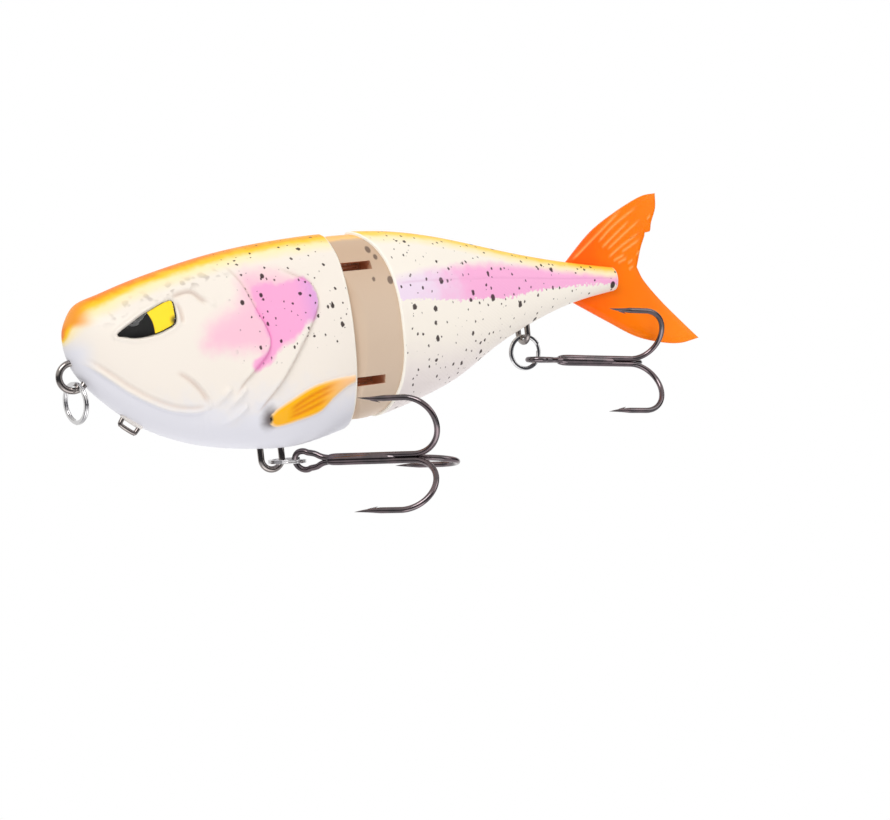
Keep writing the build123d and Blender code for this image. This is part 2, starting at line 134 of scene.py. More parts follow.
# Soft tail
TAIL_UPPER = [(136.5, 5.6), (145.9, 13.6), (154.5, 18.4), (163.1, 22.0), (167.8, 22.6)]
TAIL_UPPER_BACK = [(159.4, 3.2), (161.2, 8.0), (162.9, 11.3), (163.2, 12.3), (164.9, 12.5), (165.6, 14.8),
                   (167.4, 18.6), (167.8, 22.6)]
TAIL_LOWER_BACK = [(159.4, 3.2), (161.2, -0.6), (166.1, -6.5), (173.0, -13.5), (177.4, -17.8)]
TAIL_LOWER = [(138.0, -4.2), (148.5, -10.4), (157.0, -15.2), (164.5, -17.6), (171.0, -18.6), (177.4, -17.8)]
TAIL_CORE = [(137.2, 0.7), (148.0, 1.4), (159.4, 3.2)]
TAIL_RAYS = [[(138.5, 6.4), (146.6, 12.3), (157.0, 19.6)], [(147.1, 10.5), (153.1, 15.0), (161.5, 19.6)],
             [(148.1, 9.0), (153.4, 12.7), (158.3, 16.0)], [(149.8, 8.4), (156.1, 12.5), (162.0, 16.0)],
             [(149.9, 6.3), (155.0, 9.4), (161.1, 12.4)], [(151.5, 5.4), (155.4, 6.9)],
             [(154.4, 7.5), (161.0, 10.6)], [(152.9, 4.7), (156.1, 5.9)], [(156.1, 4.4), (157.9, 5.2)],
             [(159.1, 6.4), (161.1, 7.6)], [(156.1, 2.7), (157.9, 3.6)], [(163.9, 15.7), (165.4, 16.8)]]
TAIL_HALF = 1.1

# Wire, rings and hooks
TIE_CENTRE = (1.3, 0.0, -8.7)
TIE_LOOP_R = 3.2
TIE_WIRE_R = 0.8
CHIN_CENTRE = (14.0, 0.0, -20.6)
CHIN_SLOPE = 39.0
CHIN_WIRE_R = 0.55
BELLY_EYE = (47.9, 0.0, -33.8)
BELLY_LOOP_R = 2.7
TAIL_EYE = (122.0, 0.0, -10.9)
TAIL_LOOP_R = 2.35
HINGE_WIRE_R = 0.7
HINGE_LOOP_R = 1.9
RING_BAND = 1.0
RING_WIDE = 1.4
RING_TURNS = 1.93
LINE_RING_R = 4.5
HOOK_RING_R = 4.2
HOOK_WIRE_R = 0.72
HOOK_EYE_R = 2.45
SHANK_END = 22.5
BEND_X = 29.0
BEND_R = 7.2
POINT_X = 17.4
PRONG_OFFSET = 0.85
LINE_RING_Z = -14.8
LINE_RING_TURN = 16
BELLY_PIVOT = (47.7, 0, -34.7)
BELLY_RING_TILT = 4
BELLY_HOOK_YAW = -50
BELLY_HOOK_ROLL = 20
TAIL_RING_Z = -15.9
TAIL_LINK = (125.5, 0, -18.22)
TAIL_HOOK_DROOP = 7.2
EYE_CORNER = (23.4, 1.6)

# Shader settings of the clear coat over the pearl paint
PEARL = {"Coat Weight": 0.12, "Coat Roughness": 0.1, "Specular IOR Level": 0.08}


def curve(points):
    """The smooth curve that the part's own outline follows, as a function of the distance."""
    x = np.sqrt([p[0] for p in points])
    y = np.array([p[1] for p in points], float)
    gap = np.diff(x)
    slope = np.diff(y) / gap
    table = np.eye(len(x))
    right = np.zeros(len(x))
    for i in range(1, len(x) - 1):
        table[i, i - 1:i + 2] = [gap[i - 1], 2 * (gap[i - 1] + gap[i]), gap[i]]
        right[i] = 6 * (slope[i] - slope[i - 1])
    bend = np.linalg.solve(table, right)

    def value(distance):
        q = np.sqrt(np.maximum(np.asarray(distance, float), 0))
        i = np.clip(np.searchsorted(x, q) - 1, 0, len(gap) - 1)
        t, h = q - x[i], gap[i]
        linear = slope[i] - h * (2 * bend[i] + bend[i + 1]) / 6
        return y[i] + t * linear + t * t * bend[i] / 2 + t ** 3 * (bend[i + 1] - bend[i]) / (6 * h)

    return value


back, belly, width = curve(BACK), curve(BELLY), curve(WIDTH)


def smooth(points, count=60, closed=False):
    """Evenly spread points on a Catmull-Rom curve through the given ones."""
    p = np.array(points, float)
    if closed:
        p = np.vstack([p[-1], p, p[0], p[1]])
    else:
        p = np.vstack([2 * p[0] - p[1], p, 2 * p[-1] - p[-2]])
    out = []
    for a, b, c, d in zip(p[:-3], p[1:-2], p[2:-1], p[3:]):
        for t in np.linspace(0, 1, 12, endpoint=False):
            out.append(0.5 * (2 * b + (c - a) * t + (2 * a - 5 * b + 4 * c - d) * t * t
                              + (3 * b - a - 3 * c + d) * t ** 3))
    out.append(p[-2])
    out = np.array(out)
    run = np.concatenate([[0], np.cumsum(np.linalg.norm(np.diff(out, axis=0), axis=1))])
    at = np.linspace(0, run[-1], count)
    return np.stack([np.interp(at, run, out[:, k]) for k in range(out.shape[1])], 1)


def to_line(x, z, line):
    """Distance from each (x, z) to a line, its sign (positive on the line's left) and how far along it."""
    best = np.full(x.shape, 1e9)
    side = np.zeros(x.shape)
    along = np.zeros(x.shape)
    for i, (a, b) in enumerate(zip(line[:-1], line[1:])):
        run = b - a
        t = np.clip(((x - a[0]) * run[0] + (z - a[1]) * run[1]) / max(run @ run, 1e-9), 0, 1)
        dx, dz = x - a[0] - t * run[0], z - a[1] - t * run[1]
        d = np.hypot(dx, dz)
        nearer = d < best
        best = np.where(nearer, d, best)
        side = np.where(nearer, np.sign(run[0] * dz - run[1] * dx), side)
        along = np.where(nearer, (i + t) / (len(line) - 1), along)
    return best, side, along


def inside(x, z, outline):
    """Signed distance to a closed outline, positive inside."""
    loop = np.vstack([outline, outline[:1]])
    d = to_line(x, z, loop)[0]
    hit = np.zeros(x.shape, bool)
    for a, b in zip(loop[:-1], loop[1:]):
        crosses = (a[1] > z) != (b[1] > z)
        rise = np.where(abs(b[1] - a[1]) < 1e-12, 1e-12, b[1] - a[1])
        hit ^= crosses & (x < (b[0] - a[0]) * (z - a[1]) / rise + a[0])
    return np.where(hit, d, -d)


def soft(value, low, high):
    t = np.clip((value - low) / (high - low), 0, 1)
    return t * t * (3 - 2 * t)


def section(x, angle, inset=0.0):
    """The point of the skin at distance x and angle round the body, from belly to back to belly."""
    top, foot, wide = back(x) - inset, belly(x) + inset, width(x) - inset
    middle = (top + foot) / 2
    c, s = -np.cos(angle), np.sin(angle)
    power = np.where(c >= 0, UPPER_POWER, LOWER_POWER)
    z = middle + (top - middle) * np.sign(c) * np.abs(c) ** (2 / power)
    y = -np.maximum(wide, 0) * np.sign(s) * np.abs(s) ** (2 / power)
    return np.stack(np.broadcast_arrays(x, y, z), -1)


def half_width(x, z, inset=0.0):
    """Half-width of the body at distance x and height z."""
    top, foot, wide = back(x) - inset, belly(x) + inset, width(x) - inset
    middle, half = (top + foot) / 2, np.maximum((top - foot) / 2, 1e-6)
    u = np.clip(np.abs(z - middle) / half, 0, 1)
    power = np.where(z >= middle, UPPER_POWER, LOWER_POWER)
    return np.maximum(wide, 0) * (1 - u ** power) ** (1 / power)


def barrel_radius(z, gap=0.0):
    heights = [p[0] for p in BARREL_SIDE]
    line = smooth([(p[1], p[0]) for p in BARREL_SIDE], 160)
    return np.interp(z, line[:, 1], line[:, 0], left=0, right=0) + gap * (z > heights[0])


# ---- mesh making ----

def add_mesh(name, points, faces, weld=0.004):
    """A smooth mesh object from millimetre points drawn from the nose, welded, with faces outwards."""
    mesh = bpy.data.meshes.new(name)
    mesh.from_pydata((np.asarray(points, float) + NOSE) * MM, [], faces)
    work = bmesh.new()
    work.from_mesh(mesh)
    bmesh.ops.remove_doubles(work, verts=work.verts, dist=weld * MM)
    bmesh.ops.dissolve_degenerate(work, edges=work.edges, dist=1e-7)
    bmesh.ops.recalc_face_normals(work, faces=work.faces)
    work.to_mesh(mesh)
    work.free()
    mesh.shade_smooth()
    obj = bpy.data.objects.new(name, mesh)
    bpy.context.scene.collection.objects.link(obj)
    return obj


def grid_faces(rows, cols, start=0, around=False):
    """Quads over a grid of points stored row by row. around joins the last column to the first."""
    faces = []
    for i in range(rows - 1):
        for j in range(cols if around else cols - 1):
            k = (j + 1) % cols
            a, b = start + i * cols, start + (i + 1) * cols
            faces.append((a + j, b + j, b + k, a + k))
    return faces


def tube(path, radius, sides=16, closed=False):
    """Points and faces of a round wire along a path, with a radius at each point."""
    path = np.asarray(path, float)
    n = len(path)
    radius = np.broadcast_to(radius, (n,))
    ahead = np.roll(path, -1, 0) - np.roll(path, 1, 0)
    if not closed:
        ahead[0], ahead[-1] = path[1] - path[0], path[-1] - path[-2]
    ahead /= np.linalg.norm(ahead, axis=1, keepdims=True)
    side = np.cross(ahead[0], [0.3, 0.9, 0.2])
    points = []
    angles = np.linspace(0, 2 * np.pi, sides, endpoint=False)
    for i in range(n):
        side = side - ahead[i] * (side @ ahead[i])
        side /= np.linalg.norm(side)
        other = np.cross(ahead[i], side)
        points += [path[i] + radius[i] * (math.cos(t) * side + math.sin(t) * other) for t in angles]
    faces = grid_faces(n, sides, around=True)
    if closed:
        last = (n - 1) * sides
        turn = int(np.argmin([np.linalg.norm(points[last] - points[k]) for k in range(sides)]))
        faces += [(last + j, (j + turn) % sides, (j + 1 + turn) % sides, last + (j + 1) % sides)
                  for j in range(sides)]
    else:
        faces.append(tuple(range(sides)))
        faces.append(tuple((n - 1) * sides + j for j in reversed(range(sides))))
    return np.array(points), faces


def join(parts):
    points, faces, start = [], [], 0
    for p, f in parts:
        points.append(p)
        faces += [tuple(v + start for v in face) for face in f]
        start += len(p)
    return np.vstack(points), faces


def moved(part, matrix):
    points, faces = part
    m = np.array(matrix)
    return points @ m[:3, :3].T + m[:3, 3], faces


def place(at, *turns):
    """A matrix: a point in millimetres, then turns given as (degrees, axis)."""
    m = Matrix.Translation(at)
    for degrees, axis in turns:
        m = m @ Matrix.Rotation(math.radians(degrees), 4, axis)
    return m


def arc(centre, radius, first, last, count=24):
    """Points on an arc in the XZ plane, angles in degrees from +X towards +Z."""
    t = np.radians(np.linspace(first, last, count))
    across, up = radius * np.cos(t), radius * np.sin(t)
    return np.stack([centre[0] + across, np.full(count, centre[1]), centre[2] + up], 1)


def give(obj, name, values):
    field = obj.data.attributes.new(name, "FLOAT", "POINT")
    field.data.foreach_set("value", np.asarray(values, np.float32))


def verts(obj):
    co = np.empty(len(obj.data.vertices) * 3, np.float32)
    obj.data.vertices.foreach_get("co", co)
    return co.reshape(-1, 3).astype(float) / MM - NOSE


# ---- relief of the painted skin ----

def face_relief(x, z):
    """How far the moulded face stands proud of the plain body, and how deep each point lies in the creases,
    which sets the shade painted there.
    """
    high = np.zeros(x.shape)
    crease_shade = np.zeros(x.shape)

    def groove(line, deep, wide, fade=0.12):
        nonlocal high, crease_shade
        d, _, t = to_line(x, z, smooth(line))
        cut = np.exp(-(d / wide) ** 2) * soft(t, 0, fade) * soft(1 - t, 0, fade)
        high = high - deep * cut
        crease_shade = np.maximum(crease_shade, cut)

    def plate(line, lift, reach, sense):
        """A plate that ends at the line, raised along its edge and fading away from it."""
        nonlocal high
        d, side, t = to_line(x, z, smooth(line))
        ends = soft(t, 0.02, 0.25) * soft(1 - t, 0.02, 0.2)
        fading = np.where(side * sense > 0, np.exp(-(d / reach) ** 1.5), 0)
        high = high + lift * ends * fading * soft(d, 0, 0.35)

    d, side, t = to_line(x, z, smooth(MOUTH))
    below = d * (side < 0) - d * (side > 0)
    lip = soft(t, 0.02, 0.2) * soft(1 - t, 0, 0.1)
    ridge = 0.34 * np.exp(-((below - 0.1) / 0.42) ** 2)
    furrow = 0.3 * np.exp(-((below + 0.75) / 0.5) ** 2)
    high = high + (ridge - furrow) * lip
    high = high - 0.35 * soft(below, 0.2, 1.4) * np.exp(-(d / 5.0) ** 2) * lip
    crease_shade = np.maximum(crease_shade, 0.7 * np.exp(-((below + 0.75) / 0.4) ** 2) * lip)
    groove(JAW, 0.55, 0.5, 0.2)
    d, side, t = to_line(x, z, smooth(JAW))
    high = high + 0.3 * np.exp(-((d - 0.75) / 0.4) ** 2) * (side > 0) * soft(t, 0.1, 0.4)
    groove(BROW, 0.7, 0.5, 0.2)
    groove(EYE_CREASE, 0.6, 0.45, 0.25)
    d, side, _ = to_line(x, z, smooth(BROW))
    high = high + 0.35 * np.exp(-((d - 0.9) / 0.7) ** 2) * (side > 0)
    rim = inside(x, z, smooth(EYE_RIM, 80, closed=True))
    high = high - 0.55 * soft(rim, -0.25, 0.15)
    high = high + 0.35 * np.exp(-((rim + 0.6) / 0.4) ** 2)
    plate(CHEEK_EDGE, 0.9, 5.0, -1)
    plate(GILL_EDGE, 0.95, 6.0, -1)
    groove(CHEEK_EDGE, 0.15, 0.3, 0.1)
    groove(GILL_EDGE, 0.16, 0.3, 0.1)
    for line in GILL_RAYS:
        d, _, t = to_line(x, z, smooth(line))
        high = high + 0.7 * np.exp(-(d / 0.7) ** 2) * soft(t, 0, 0.15) * soft(1 - t, 0, 0.6)
    fin = inside(x, z, fin_outline())
    high = high + 0.6 * soft(fin, -0.15, 0.9)
    for line in FIN_RAYS:
        d, _, t = to_line(x, z, smooth(line))
        high = high - 0.35 * np.exp(-(d / 0.42) ** 2) * soft(t, 0, 0.2) * soft(1 - t, 0, 0.3)
    crease_shade = np.maximum(crease_shade, 0.5 * np.exp(-((fin + 0.1) / 0.3) ** 2))
    return high, crease_shade


def fin_outline():
    return np.vstack([smooth(FIN_TOP, 40), smooth(FIN_FOOT, 40)])


def tail_relief(x, z):
    """The rear section's lateral line: its shallow groove, and how much shade is painted into it."""
    d, _, t = to_line(x, z, smooth(LATERAL))
    cut = np.exp(-(d / 0.22) ** 2) * soft(t, 0, 0.05)
    return -0.1 * cut, 0.35 * cut


def push_out(grid, rows, cols, amount):
    """Moves grid points along the surface normal by amount."""
    p = grid.reshape(rows, cols, 3)
    along = np.gradient(p, axis=0)
    round_ = (np.roll(p, -1, 1) - np.roll(p, 1, 1)) / 2
    normal = np.cross(along, round_)
    size = np.linalg.norm(normal, axis=2, keepdims=True)
    normal = np.where(size > 1e-9, normal / np.maximum(size, 1e-9), 0)
    middle = p.mean(1, keepdims=True)
    flip = np.sign(((p - middle) * normal).sum(2, keepdims=True).sum(1, keepdims=True))
    return (p + normal * flip * amount.reshape(rows, cols, 1)).reshape(-1, 3)


def seat_edge(y, z):
    """How far back the front section reaches before the round seat cuts it."""
    reach = np.sqrt(np.maximum(barrel_radius(z, SEAT_GAP) ** 2 - y ** 2, 0))
    return np.minimum(LIP_X, HINGE_X - reach)


def front_skin():
    """Front section: the painted skin from the nose to the lip, and the round seat inside the lip."""
    rows, cols = 250, 300
    step = np.linspace(0, 1, rows)
    x = LIP_X * (0.22 * step ** 2.6 + 0.78 * step)
    angle = np.linspace(0, 2 * np.pi, cols, endpoint=False)
    grid = section(x[:, None], angle[None, :]).reshape(-1, 3)
    high, _ = face_relief(grid[:, 0], grid[:, 2])
    blunt = soft(grid[:, 0], 0.6, 2.5) * soft(LIP_X - grid[:, 0], 0.0, 0.8)
    edge = -0.25 * soft(grid[:, 0], LIP_X - 0.45, LIP_X) ** 2
    grid = push_out(grid, rows, cols, high * blunt + edge)
    cut = np.tile(seat_edge(grid[-cols:, 1], grid[-cols:, 2]), rows)
    late = np.maximum(grid[:, 0] - LIP_START, 0) / (LIP_X - LIP_START)
    grid[:, 0] -= late * (LIP_X - cut)
    rim = grid[-cols:].copy()
    centre = np.array([LIP_X, 0.0, rim[:, 2].mean()])
    seat = []
    rings = 40
    for k in range(1, rings):
        ring = centre + (rim - centre) * (1 - k / rings) ** 0.9
        ring[:, 0] = seat_edge(ring[:, 1], ring[:, 2])
        seat.append(ring)
    deepest = HINGE_X - float(barrel_radius(centre[2], SEAT_GAP))
    points = np.vstack([grid] + seat + [[[deepest, 0, centre[2]]]])
    faces = grid_faces(rows + rings - 1, cols, around=True)
    last = (rows + rings - 2) * cols
    faces += [(last + j, len(points) - 1, last + (j + 1) % cols) for j in range(cols)]
    return add_mesh("front_section", points, faces, weld=0.003)


def shoulder_x(z):
    line = smooth([(p[1], p[0]) for p in SHOULDER], 120)
    return np.interp(z, line[:, 1], line[:, 0])


def rear_skin():
    """Rear section: the painted skin from its shoulder to the tail end, with a short turned-in edge."""
    rows, cols = 230, 260
    angle = np.linspace(0, 2 * np.pi, cols, endpoint=False)
    start = np.full(cols, 78.0)
    for _ in range(12):
        start = 0.5 * start + 0.5 * shoulder_x(section(start, angle)[:, 2])
    step = np.linspace(0, 1, rows)[:, None]
    x = start[None, :] * (1 - step) + BODY_END * step
    grid = section(x, angle[None, :] + 0 * x).reshape(-1, 3)
    high, _ = tail_relief(grid[:, 0], grid[:, 2])
    behind = (x - start[None, :]).reshape(-1)
    rolled = -0.28 * (1 - soft(behind, 0, 0.5)) ** 2
    end = BODY_END - grid[:, 0]
    rounded = -0.45 * (1 - np.sqrt(np.clip(1 - (1 - np.clip(end / 0.45, 0, 1)) ** 2, 0, 1)))
    grid = push_out(grid, rows, cols, high + rolled + rounded)
    inner = section(start, angle, BARREL_STEP + 0.25)
    inner[:, 0] += 0.1
    centre = grid[-cols:].mean(0)
    points = np.vstack([inner, grid, centre[None, :]])
    faces = grid_faces(rows + 1, cols, around=True)
    last = rows * cols
    faces += [(last + j, len(points) - 1, last + (j + 1) % cols) for j in range(cols)]
    faces.append(tuple(range(cols)))
    return points, faces


def barrel():
    """The bare barrel: round in front of the hinge axis, straight behind it, under the skin's line."""
    rows, half = 110, 90
    v = (1 - np.cos(np.linspace(0, np.pi, rows))) / 2
    x = np.full((rows, half), HINGE_X)
    s = np.linspace(0, 1, half)[None, :] ** 1.7
    low = max(BARREL_SIDE[0][0], float(belly(HINGE_X)) + BARREL_STEP)
    for _ in range(8):
        top = np.minimum(back(x) - BARREL_STEP, BARREL_SIDE[-1][0])
        foot = np.maximum(belly(x) + BARREL_STEP, low)
        z = foot + (top - foot) * v[:, None]
        radius = barrel_radius(z)
        front = HINGE_X - barrel_radius(z[:, :1])
        x = front + (BARREL_BACK - front) * s
    round_ = np.sqrt(np.maximum(radius ** 2 - np.maximum(HINGE_X - x, 0) ** 2, 0))
    y = np.minimum(round_, half_width(x, z, BARREL_STEP))
    y[:, 0] = 0
    y[0, :] = 0
    y[-1, :] = 0
    left = np.stack([x, -y, z], -1)
    right = np.stack([x, y, z], -1)[:, ::-1]
    loop = np.concatenate([right, left], 1)
    return loop.reshape(-1, 3), grid_faces(rows, 2 * half, around=True)


def slot_cutter(z):
    """A level slot round the front of the barrel, with a round pocket about the hinge pin."""
    t = np.radians(np.linspace(-70, 70, 17))
    outline = [(52.0, -18.0), (SLOT_BACK, -18.0)]
    outline += [(HINGE_X + SLOT_POCKET * math.cos(a), SLOT_POCKET * math.sin(a)) for a in t]
    outline += [(SLOT_BACK, 18.0), (52.0, 18.0)]
    n = len(outline)
    points = [(x, y, z + h) for h in (-SLOT_HEIGHT / 2, SLOT_HEIGHT / 2) for x, y in outline]
    faces = [tuple(range(n)), tuple(range(2 * n - 1, n - 1, -1))]
    faces += [(i, (i + 1) % n, n + (i + 1) % n, n + i) for i in range(n)]
    return add_mesh("slot_cutter", points, faces)


def cut_slots(obj):
    for z in HINGE_HEIGHTS:
        cutter = slot_cutter(z)
        cut = obj.modifiers.new("slot", "BOOLEAN")
        cut.operation = "DIFFERENCE"
        cut.solver = "EXACT"
        cut.object = cutter
        bpy.context.view_layer.update()
        shape = obj.evaluated_get(bpy.context.evaluated_depsgraph_get())
        mesh = bpy.data.meshes.new_from_object(shape)
        obj.modifiers.clear()
        obj.data = mesh
        bpy.data.objects.remove(cutter)


def spot_gap(x, z):
    """Distance outside the nearest of the larger painted spots."""
    return np.min([np.hypot(x - a, (z - b) * 0.8) - r for a, b, r in SPOTS], axis=0)


def paint_front(obj):
    x, y, z = verts(obj).T
    seat = np.abs(y) < half_width(x, z) - 1.2
    give(obj, "crest", back(x) - z)
    give(obj, "blush", np.where(seat, -40, inside(x, z, smooth(BLUSH, 90, closed=True))))
    give(obj, "haze", np.where(seat, -40, inside(x, z, smooth(HAZE, 90, closed=True))))
    give(obj, "fin", np.where(seat, -40, inside(x, z, fin_outline())))
    lips, under, _ = to_line(x, z, smooth(MOUTH))
    give(obj, "jaw", np.where(x < 28.0, -lips * under, -z - 19.4))
    rays = np.zeros(len(x))
    for line in FIN_RAYS:
        gap, _, t = to_line(x, z, smooth(line))
        rays = np.maximum(rays, np.exp(-(gap / 0.45) ** 2) * soft(t, 0, 0.2) * soft(1 - t, 0, 0.3))
    give(obj, "fin_ray", rays)
    give(obj, "spot", spot_gap(x, z))
    give(obj, "fin_root", np.hypot(x - FIN_ROOT[0], (z - FIN_ROOT[1]) * 0.8))
    give(obj, "crease_shade", face_relief(x, z)[1] * ~seat)
    give(obj, "rim", np.where(x > LIP_START, seat_edge(y, z), LIP_X) - x)
    give(obj, "seat", seat * (x > 50))


def paint_rear(obj):
    x, _, z = verts(obj).T
    top, under, _ = to_line(x, z, smooth(BAND_TOP, 60))
    foot, over, _ = to_line(x, z, smooth(BAND_FOOT, 60))
    give(obj, "crest", back(x) - z)
    give(obj, "below_top", -top * under)
    give(obj, "above_foot", -foot * over)
    give(obj, "crease_shade", tail_relief(x, z)[1])
    give(obj, "spot", spot_gap(x, z))
    give(obj, "rim", np.minimum(x - shoulder_x(z), BODY_END - x))


def paint_barrel(obj):
    """Marks the crest, and gives the slot walls the second material."""
    x, _, z = verts(obj).T
    give(obj, "crest", back(x) - BARREL_STEP - z)
    give(obj, "spot", spot_gap(x, z))
    for face in obj.data.polygons:
        at = np.array(face.center) / MM - NOSE
        level = min(abs(abs(at[2] - h) - SLOT_HEIGHT / 2) for h in HINGE_HEIGHTS) < 0.05
        flat = abs(face.normal.z) > 0.99
        between = min(abs(at[2] - h) for h in HINGE_HEIGHTS) < SLOT_HEIGHT / 2
        walled = math.hypot(at[0] - HINGE_X, at[1]) < SLOT_POCKET + 0.1 or abs(at[0] - SLOT_BACK) < 0.05
        face.material_index = int((level and flat) or (between and walled))


# ---- small parts ----

def u_wire(centre, loop_r, wire_r, leg, *turns):
    """A U of wire about its loop's centre, with its legs up."""
    bend = arc((0, 0, 0), loop_r, -180, 0, 30)
    near = [(-loop_r, 0, leg), (-loop_r, 0, leg / 2)]
    far = [(loop_r, 0, leg / 2), (loop_r, 0, leg)]
    path = np.vstack([near, bend, far])
    return moved(tube(path, wire_r, 20), place(centre, *turns))


def wires():
    """The fixed wire eyes: nose, chin, belly, tail and the two at the hinge."""
    shank = 15.0 - TIE_CENTRE[0]
    grip = 0.82
    loop = arc((0, 0, 0), TIE_LOOP_R, 24, 336, 60)
    path = [(shank, 0, grip), (8.0, 0, grip), (5.2, 0, grip + 0.05)] + [tuple(p) for p in loop]
    path += [(5.2, 0, -grip - 0.05), (8.0, 0, -grip), (shank, 0, -grip)]
    nose = moved(tube(smooth(path, 150), TIE_WIRE_R, 20), place(TIE_CENTRE))
    staple = [(-2.2, 0, 6.5), (-2.2, 0, -1.2), (-1.7, 0, -2.0), (-0.9, 0, -2.12), (0.9, 0, -2.12),
              (1.7, 0, -2.0), (2.2, 0, -1.2), (2.2, 0, 6.5)]
    chin = moved(tube(smooth(staple, 70), CHIN_WIRE_R, 16), place(CHIN_CENTRE, (CHIN_SLOPE, "Y")))
    made = {"nose_eye": ("front", [nose]), "chin_eye": ("front", [chin]),
            "belly_hanger": ("front", [u_wire(BELLY_EYE, BELLY_LOOP_R, 0.8, 10.3)]),
            "tail_hanger": ("rear", [u_wire(TAIL_EYE, TAIL_LOOP_R, 0.75, 9.4, (90, "Z"))])}
    for name, z in zip(("upper_hinge_eye", "lower_hinge_eye"), HINGE_HEIGHTS):
        turns = ((-90, "Y"), (90, "Z"))
        made[name] = ("front", [u_wire((HINGE_X, 0, z), HINGE_LOOP_R, HINGE_WIRE_R, 19.3, *turns)])
    return made


def boss():
    """The low moulded pad that the chin staple comes out of."""
    out = []
    for height, wide, half in ((-2.0, 1.6, 3.2), (0.1, 1.5, 3.1), (0.45, 1.1, 2.8), (0.55, 0.5, 2.3)):
        t = np.linspace(0, 2 * np.pi, 32, endpoint=False)
        shape = np.stack([half * np.sign(np.cos(t)) * np.abs(np.cos(t)) ** 0.6, wide * np.sin(t),
                          np.full(32, -height)], 1)
        out.append(shape)
    points = np.vstack(out)
    faces = grid_faces(4, 32, around=True) + [tuple(range(32)), tuple(range(127, 95, -1))]
    return moved((points, faces), place(CHIN_CENTRE, (CHIN_SLOPE, "Y")))


def treble(at):
    """Three brazed hooks with a teardrop eye, tapered points and barbs."""
    eye = [(9.0, 0, 0.45), (6.2, 0, 0.55), (4.6, 0, 0.95), (3.1, 0, 1.7)]
    eye += [tuple(p) for p in arc((0, 0, 0), HOOK_EYE_R, 58, 302, 40)]
    eye += [(3.1, 0, -1.7), (4.6, 0, -0.95), (6.2, 0, -0.55), (9.0, 0, -0.45)]
    parts = [tube(smooth(eye, 110), 0.75, 18)]
    core_x = np.array([5.9, 6.4, 7.4, 9.0, SHANK_END - 2, SHANK_END, SHANK_END + 1.4, SHANK_END + 2.2])
    core_r = [0.5, 1.0, 1.3, 1.36, 1.36, 1.3, 1.0, 0.4]
    parts.append(tube(np.stack([core_x, 0 * core_x, 0 * core_x], 1), np.array(core_r), 24))
    low, high = PRONG_OFFSET, PRONG_OFFSET + 2 * BEND_R
    bend = arc((BEND_X, 0, PRONG_OFFSET + BEND_R), BEND_R, -90, 90, 40)
    straight = [(6.6, 0, 0.5), (8.5, 0, low), (15.0, 0, low), (23.0, 0, low)]
    rise = ((9.0, 0.0), (6.5, 0.0), (4.5, 0.02), (3.0, 0.08), (1.4, 0.2), (0.0, 0.36))
    spear = [(POINT_X + out, 0, high + lift) for out, lift in rise]
    path = smooth(straight + [tuple(p) for p in bend] + spear, 190)
    radius = np.full(len(path), HOOK_WIRE_R)
    tip = (path[:, 2] > high - 1) & (path[:, 0] < POINT_X + 6.5)
    radius[tip] = HOOK_WIRE_R * np.clip((path[tip, 0] - POINT_X) / 6.5, 0.03, 1) ** 0.8
    fall = ((3.2, 0.34), (4.0, 0.5), (5.0, 0.82), (5.6, 1.08))
    barb_line = [(POINT_X + out, 0, high - drop) for out, drop in fall]
    barb = tube(np.array(barb_line), np.array([0.14, 0.18, 0.12, 0.03]), 12)
    for turn in (0, 120, 240):
        swing = Matrix.Rotation(math.radians(turn), 4, "X")
        parts += [moved(tube(path, radius, 18), swing), moved(barb, swing)]
    return moved(join(parts), at)


def coil_tree(material):
    """Geometry nodes that wind a flat-wire split ring: nearly two turns lying on each other."""
    tree = bpy.data.node_groups.new("split_ring_coils", "GeometryNodeTree")
    face = tree.interface
    sockets = {}
    for label in ("Coil radius", "Coil rise", "Wire depth", "Wire width"):
        sockets[label] = face.new_socket(label, in_out="INPUT", socket_type="NodeSocketFloat").identifier
    face.new_socket("Geometry", in_out="OUTPUT", socket_type="NodeSocketGeometry")
    node = {}
    for key, kind in (("given", "NodeGroupInput"), ("coil", "GeometryNodeCurveSpiral"),
                      ("up", "GeometryNodeSetCurveNormal"),
                      ("strip", "GeometryNodeCurvePrimitiveQuadrilateral"),
                      ("round", "GeometryNodeFilletCurve"), ("sweep", "GeometryNodeCurveToMesh"),
                      ("smooth", "GeometryNodeSetShadeSmooth"), ("real", "GeometryNodeRealizeInstances"),
                      ("look", "GeometryNodeSetMaterial"), ("out", "NodeGroupOutput")):
        node[key] = tree.nodes.new(kind)
    node["coil"].inputs["Resolution"].default_value = 96
    node["coil"].inputs["Rotations"].default_value = RING_TURNS
    node["up"].mode = "Z_UP"
    node["round"].mode = "POLY"
    node["round"].inputs["Radius"].default_value = 0.2 * MM
    node["round"].inputs["Count"].default_value = 4
    node["sweep"].inputs["Fill Caps"].default_value = True
    node["look"].inputs["Material"].default_value = material
    given = node["given"].outputs
    link = tree.links.new
    link(given["Coil radius"], node["coil"].inputs["Start Radius"])
    link(given["Coil radius"], node["coil"].inputs["End Radius"])
    link(given["Coil rise"], node["coil"].inputs["Height"])
    link(given["Wire depth"], node["strip"].inputs["Width"])
    link(given["Wire width"], node["strip"].inputs["Height"])
    link(node["coil"].outputs["Curve"], node["up"].inputs["Curve"])
    link(node["up"].outputs["Curve"], node["sweep"].inputs["Curve"])
    link(node["strip"].outputs["Curve"], node["round"].inputs["Curve"])
    link(node["round"].outputs["Curve"], node["sweep"].inputs["Profile Curve"])
    link(node["sweep"].outputs["Mesh"], node["smooth"].inputs["Geometry"])
    link(node["smooth"].outputs["Geometry"], node["real"].inputs["Geometry"])
    link(node["real"].outputs["Geometry"], node["look"].inputs["Geometry"])
    link(node["look"].outputs["Geometry"], node["out"].inputs["Geometry"])
    return tree, sockets


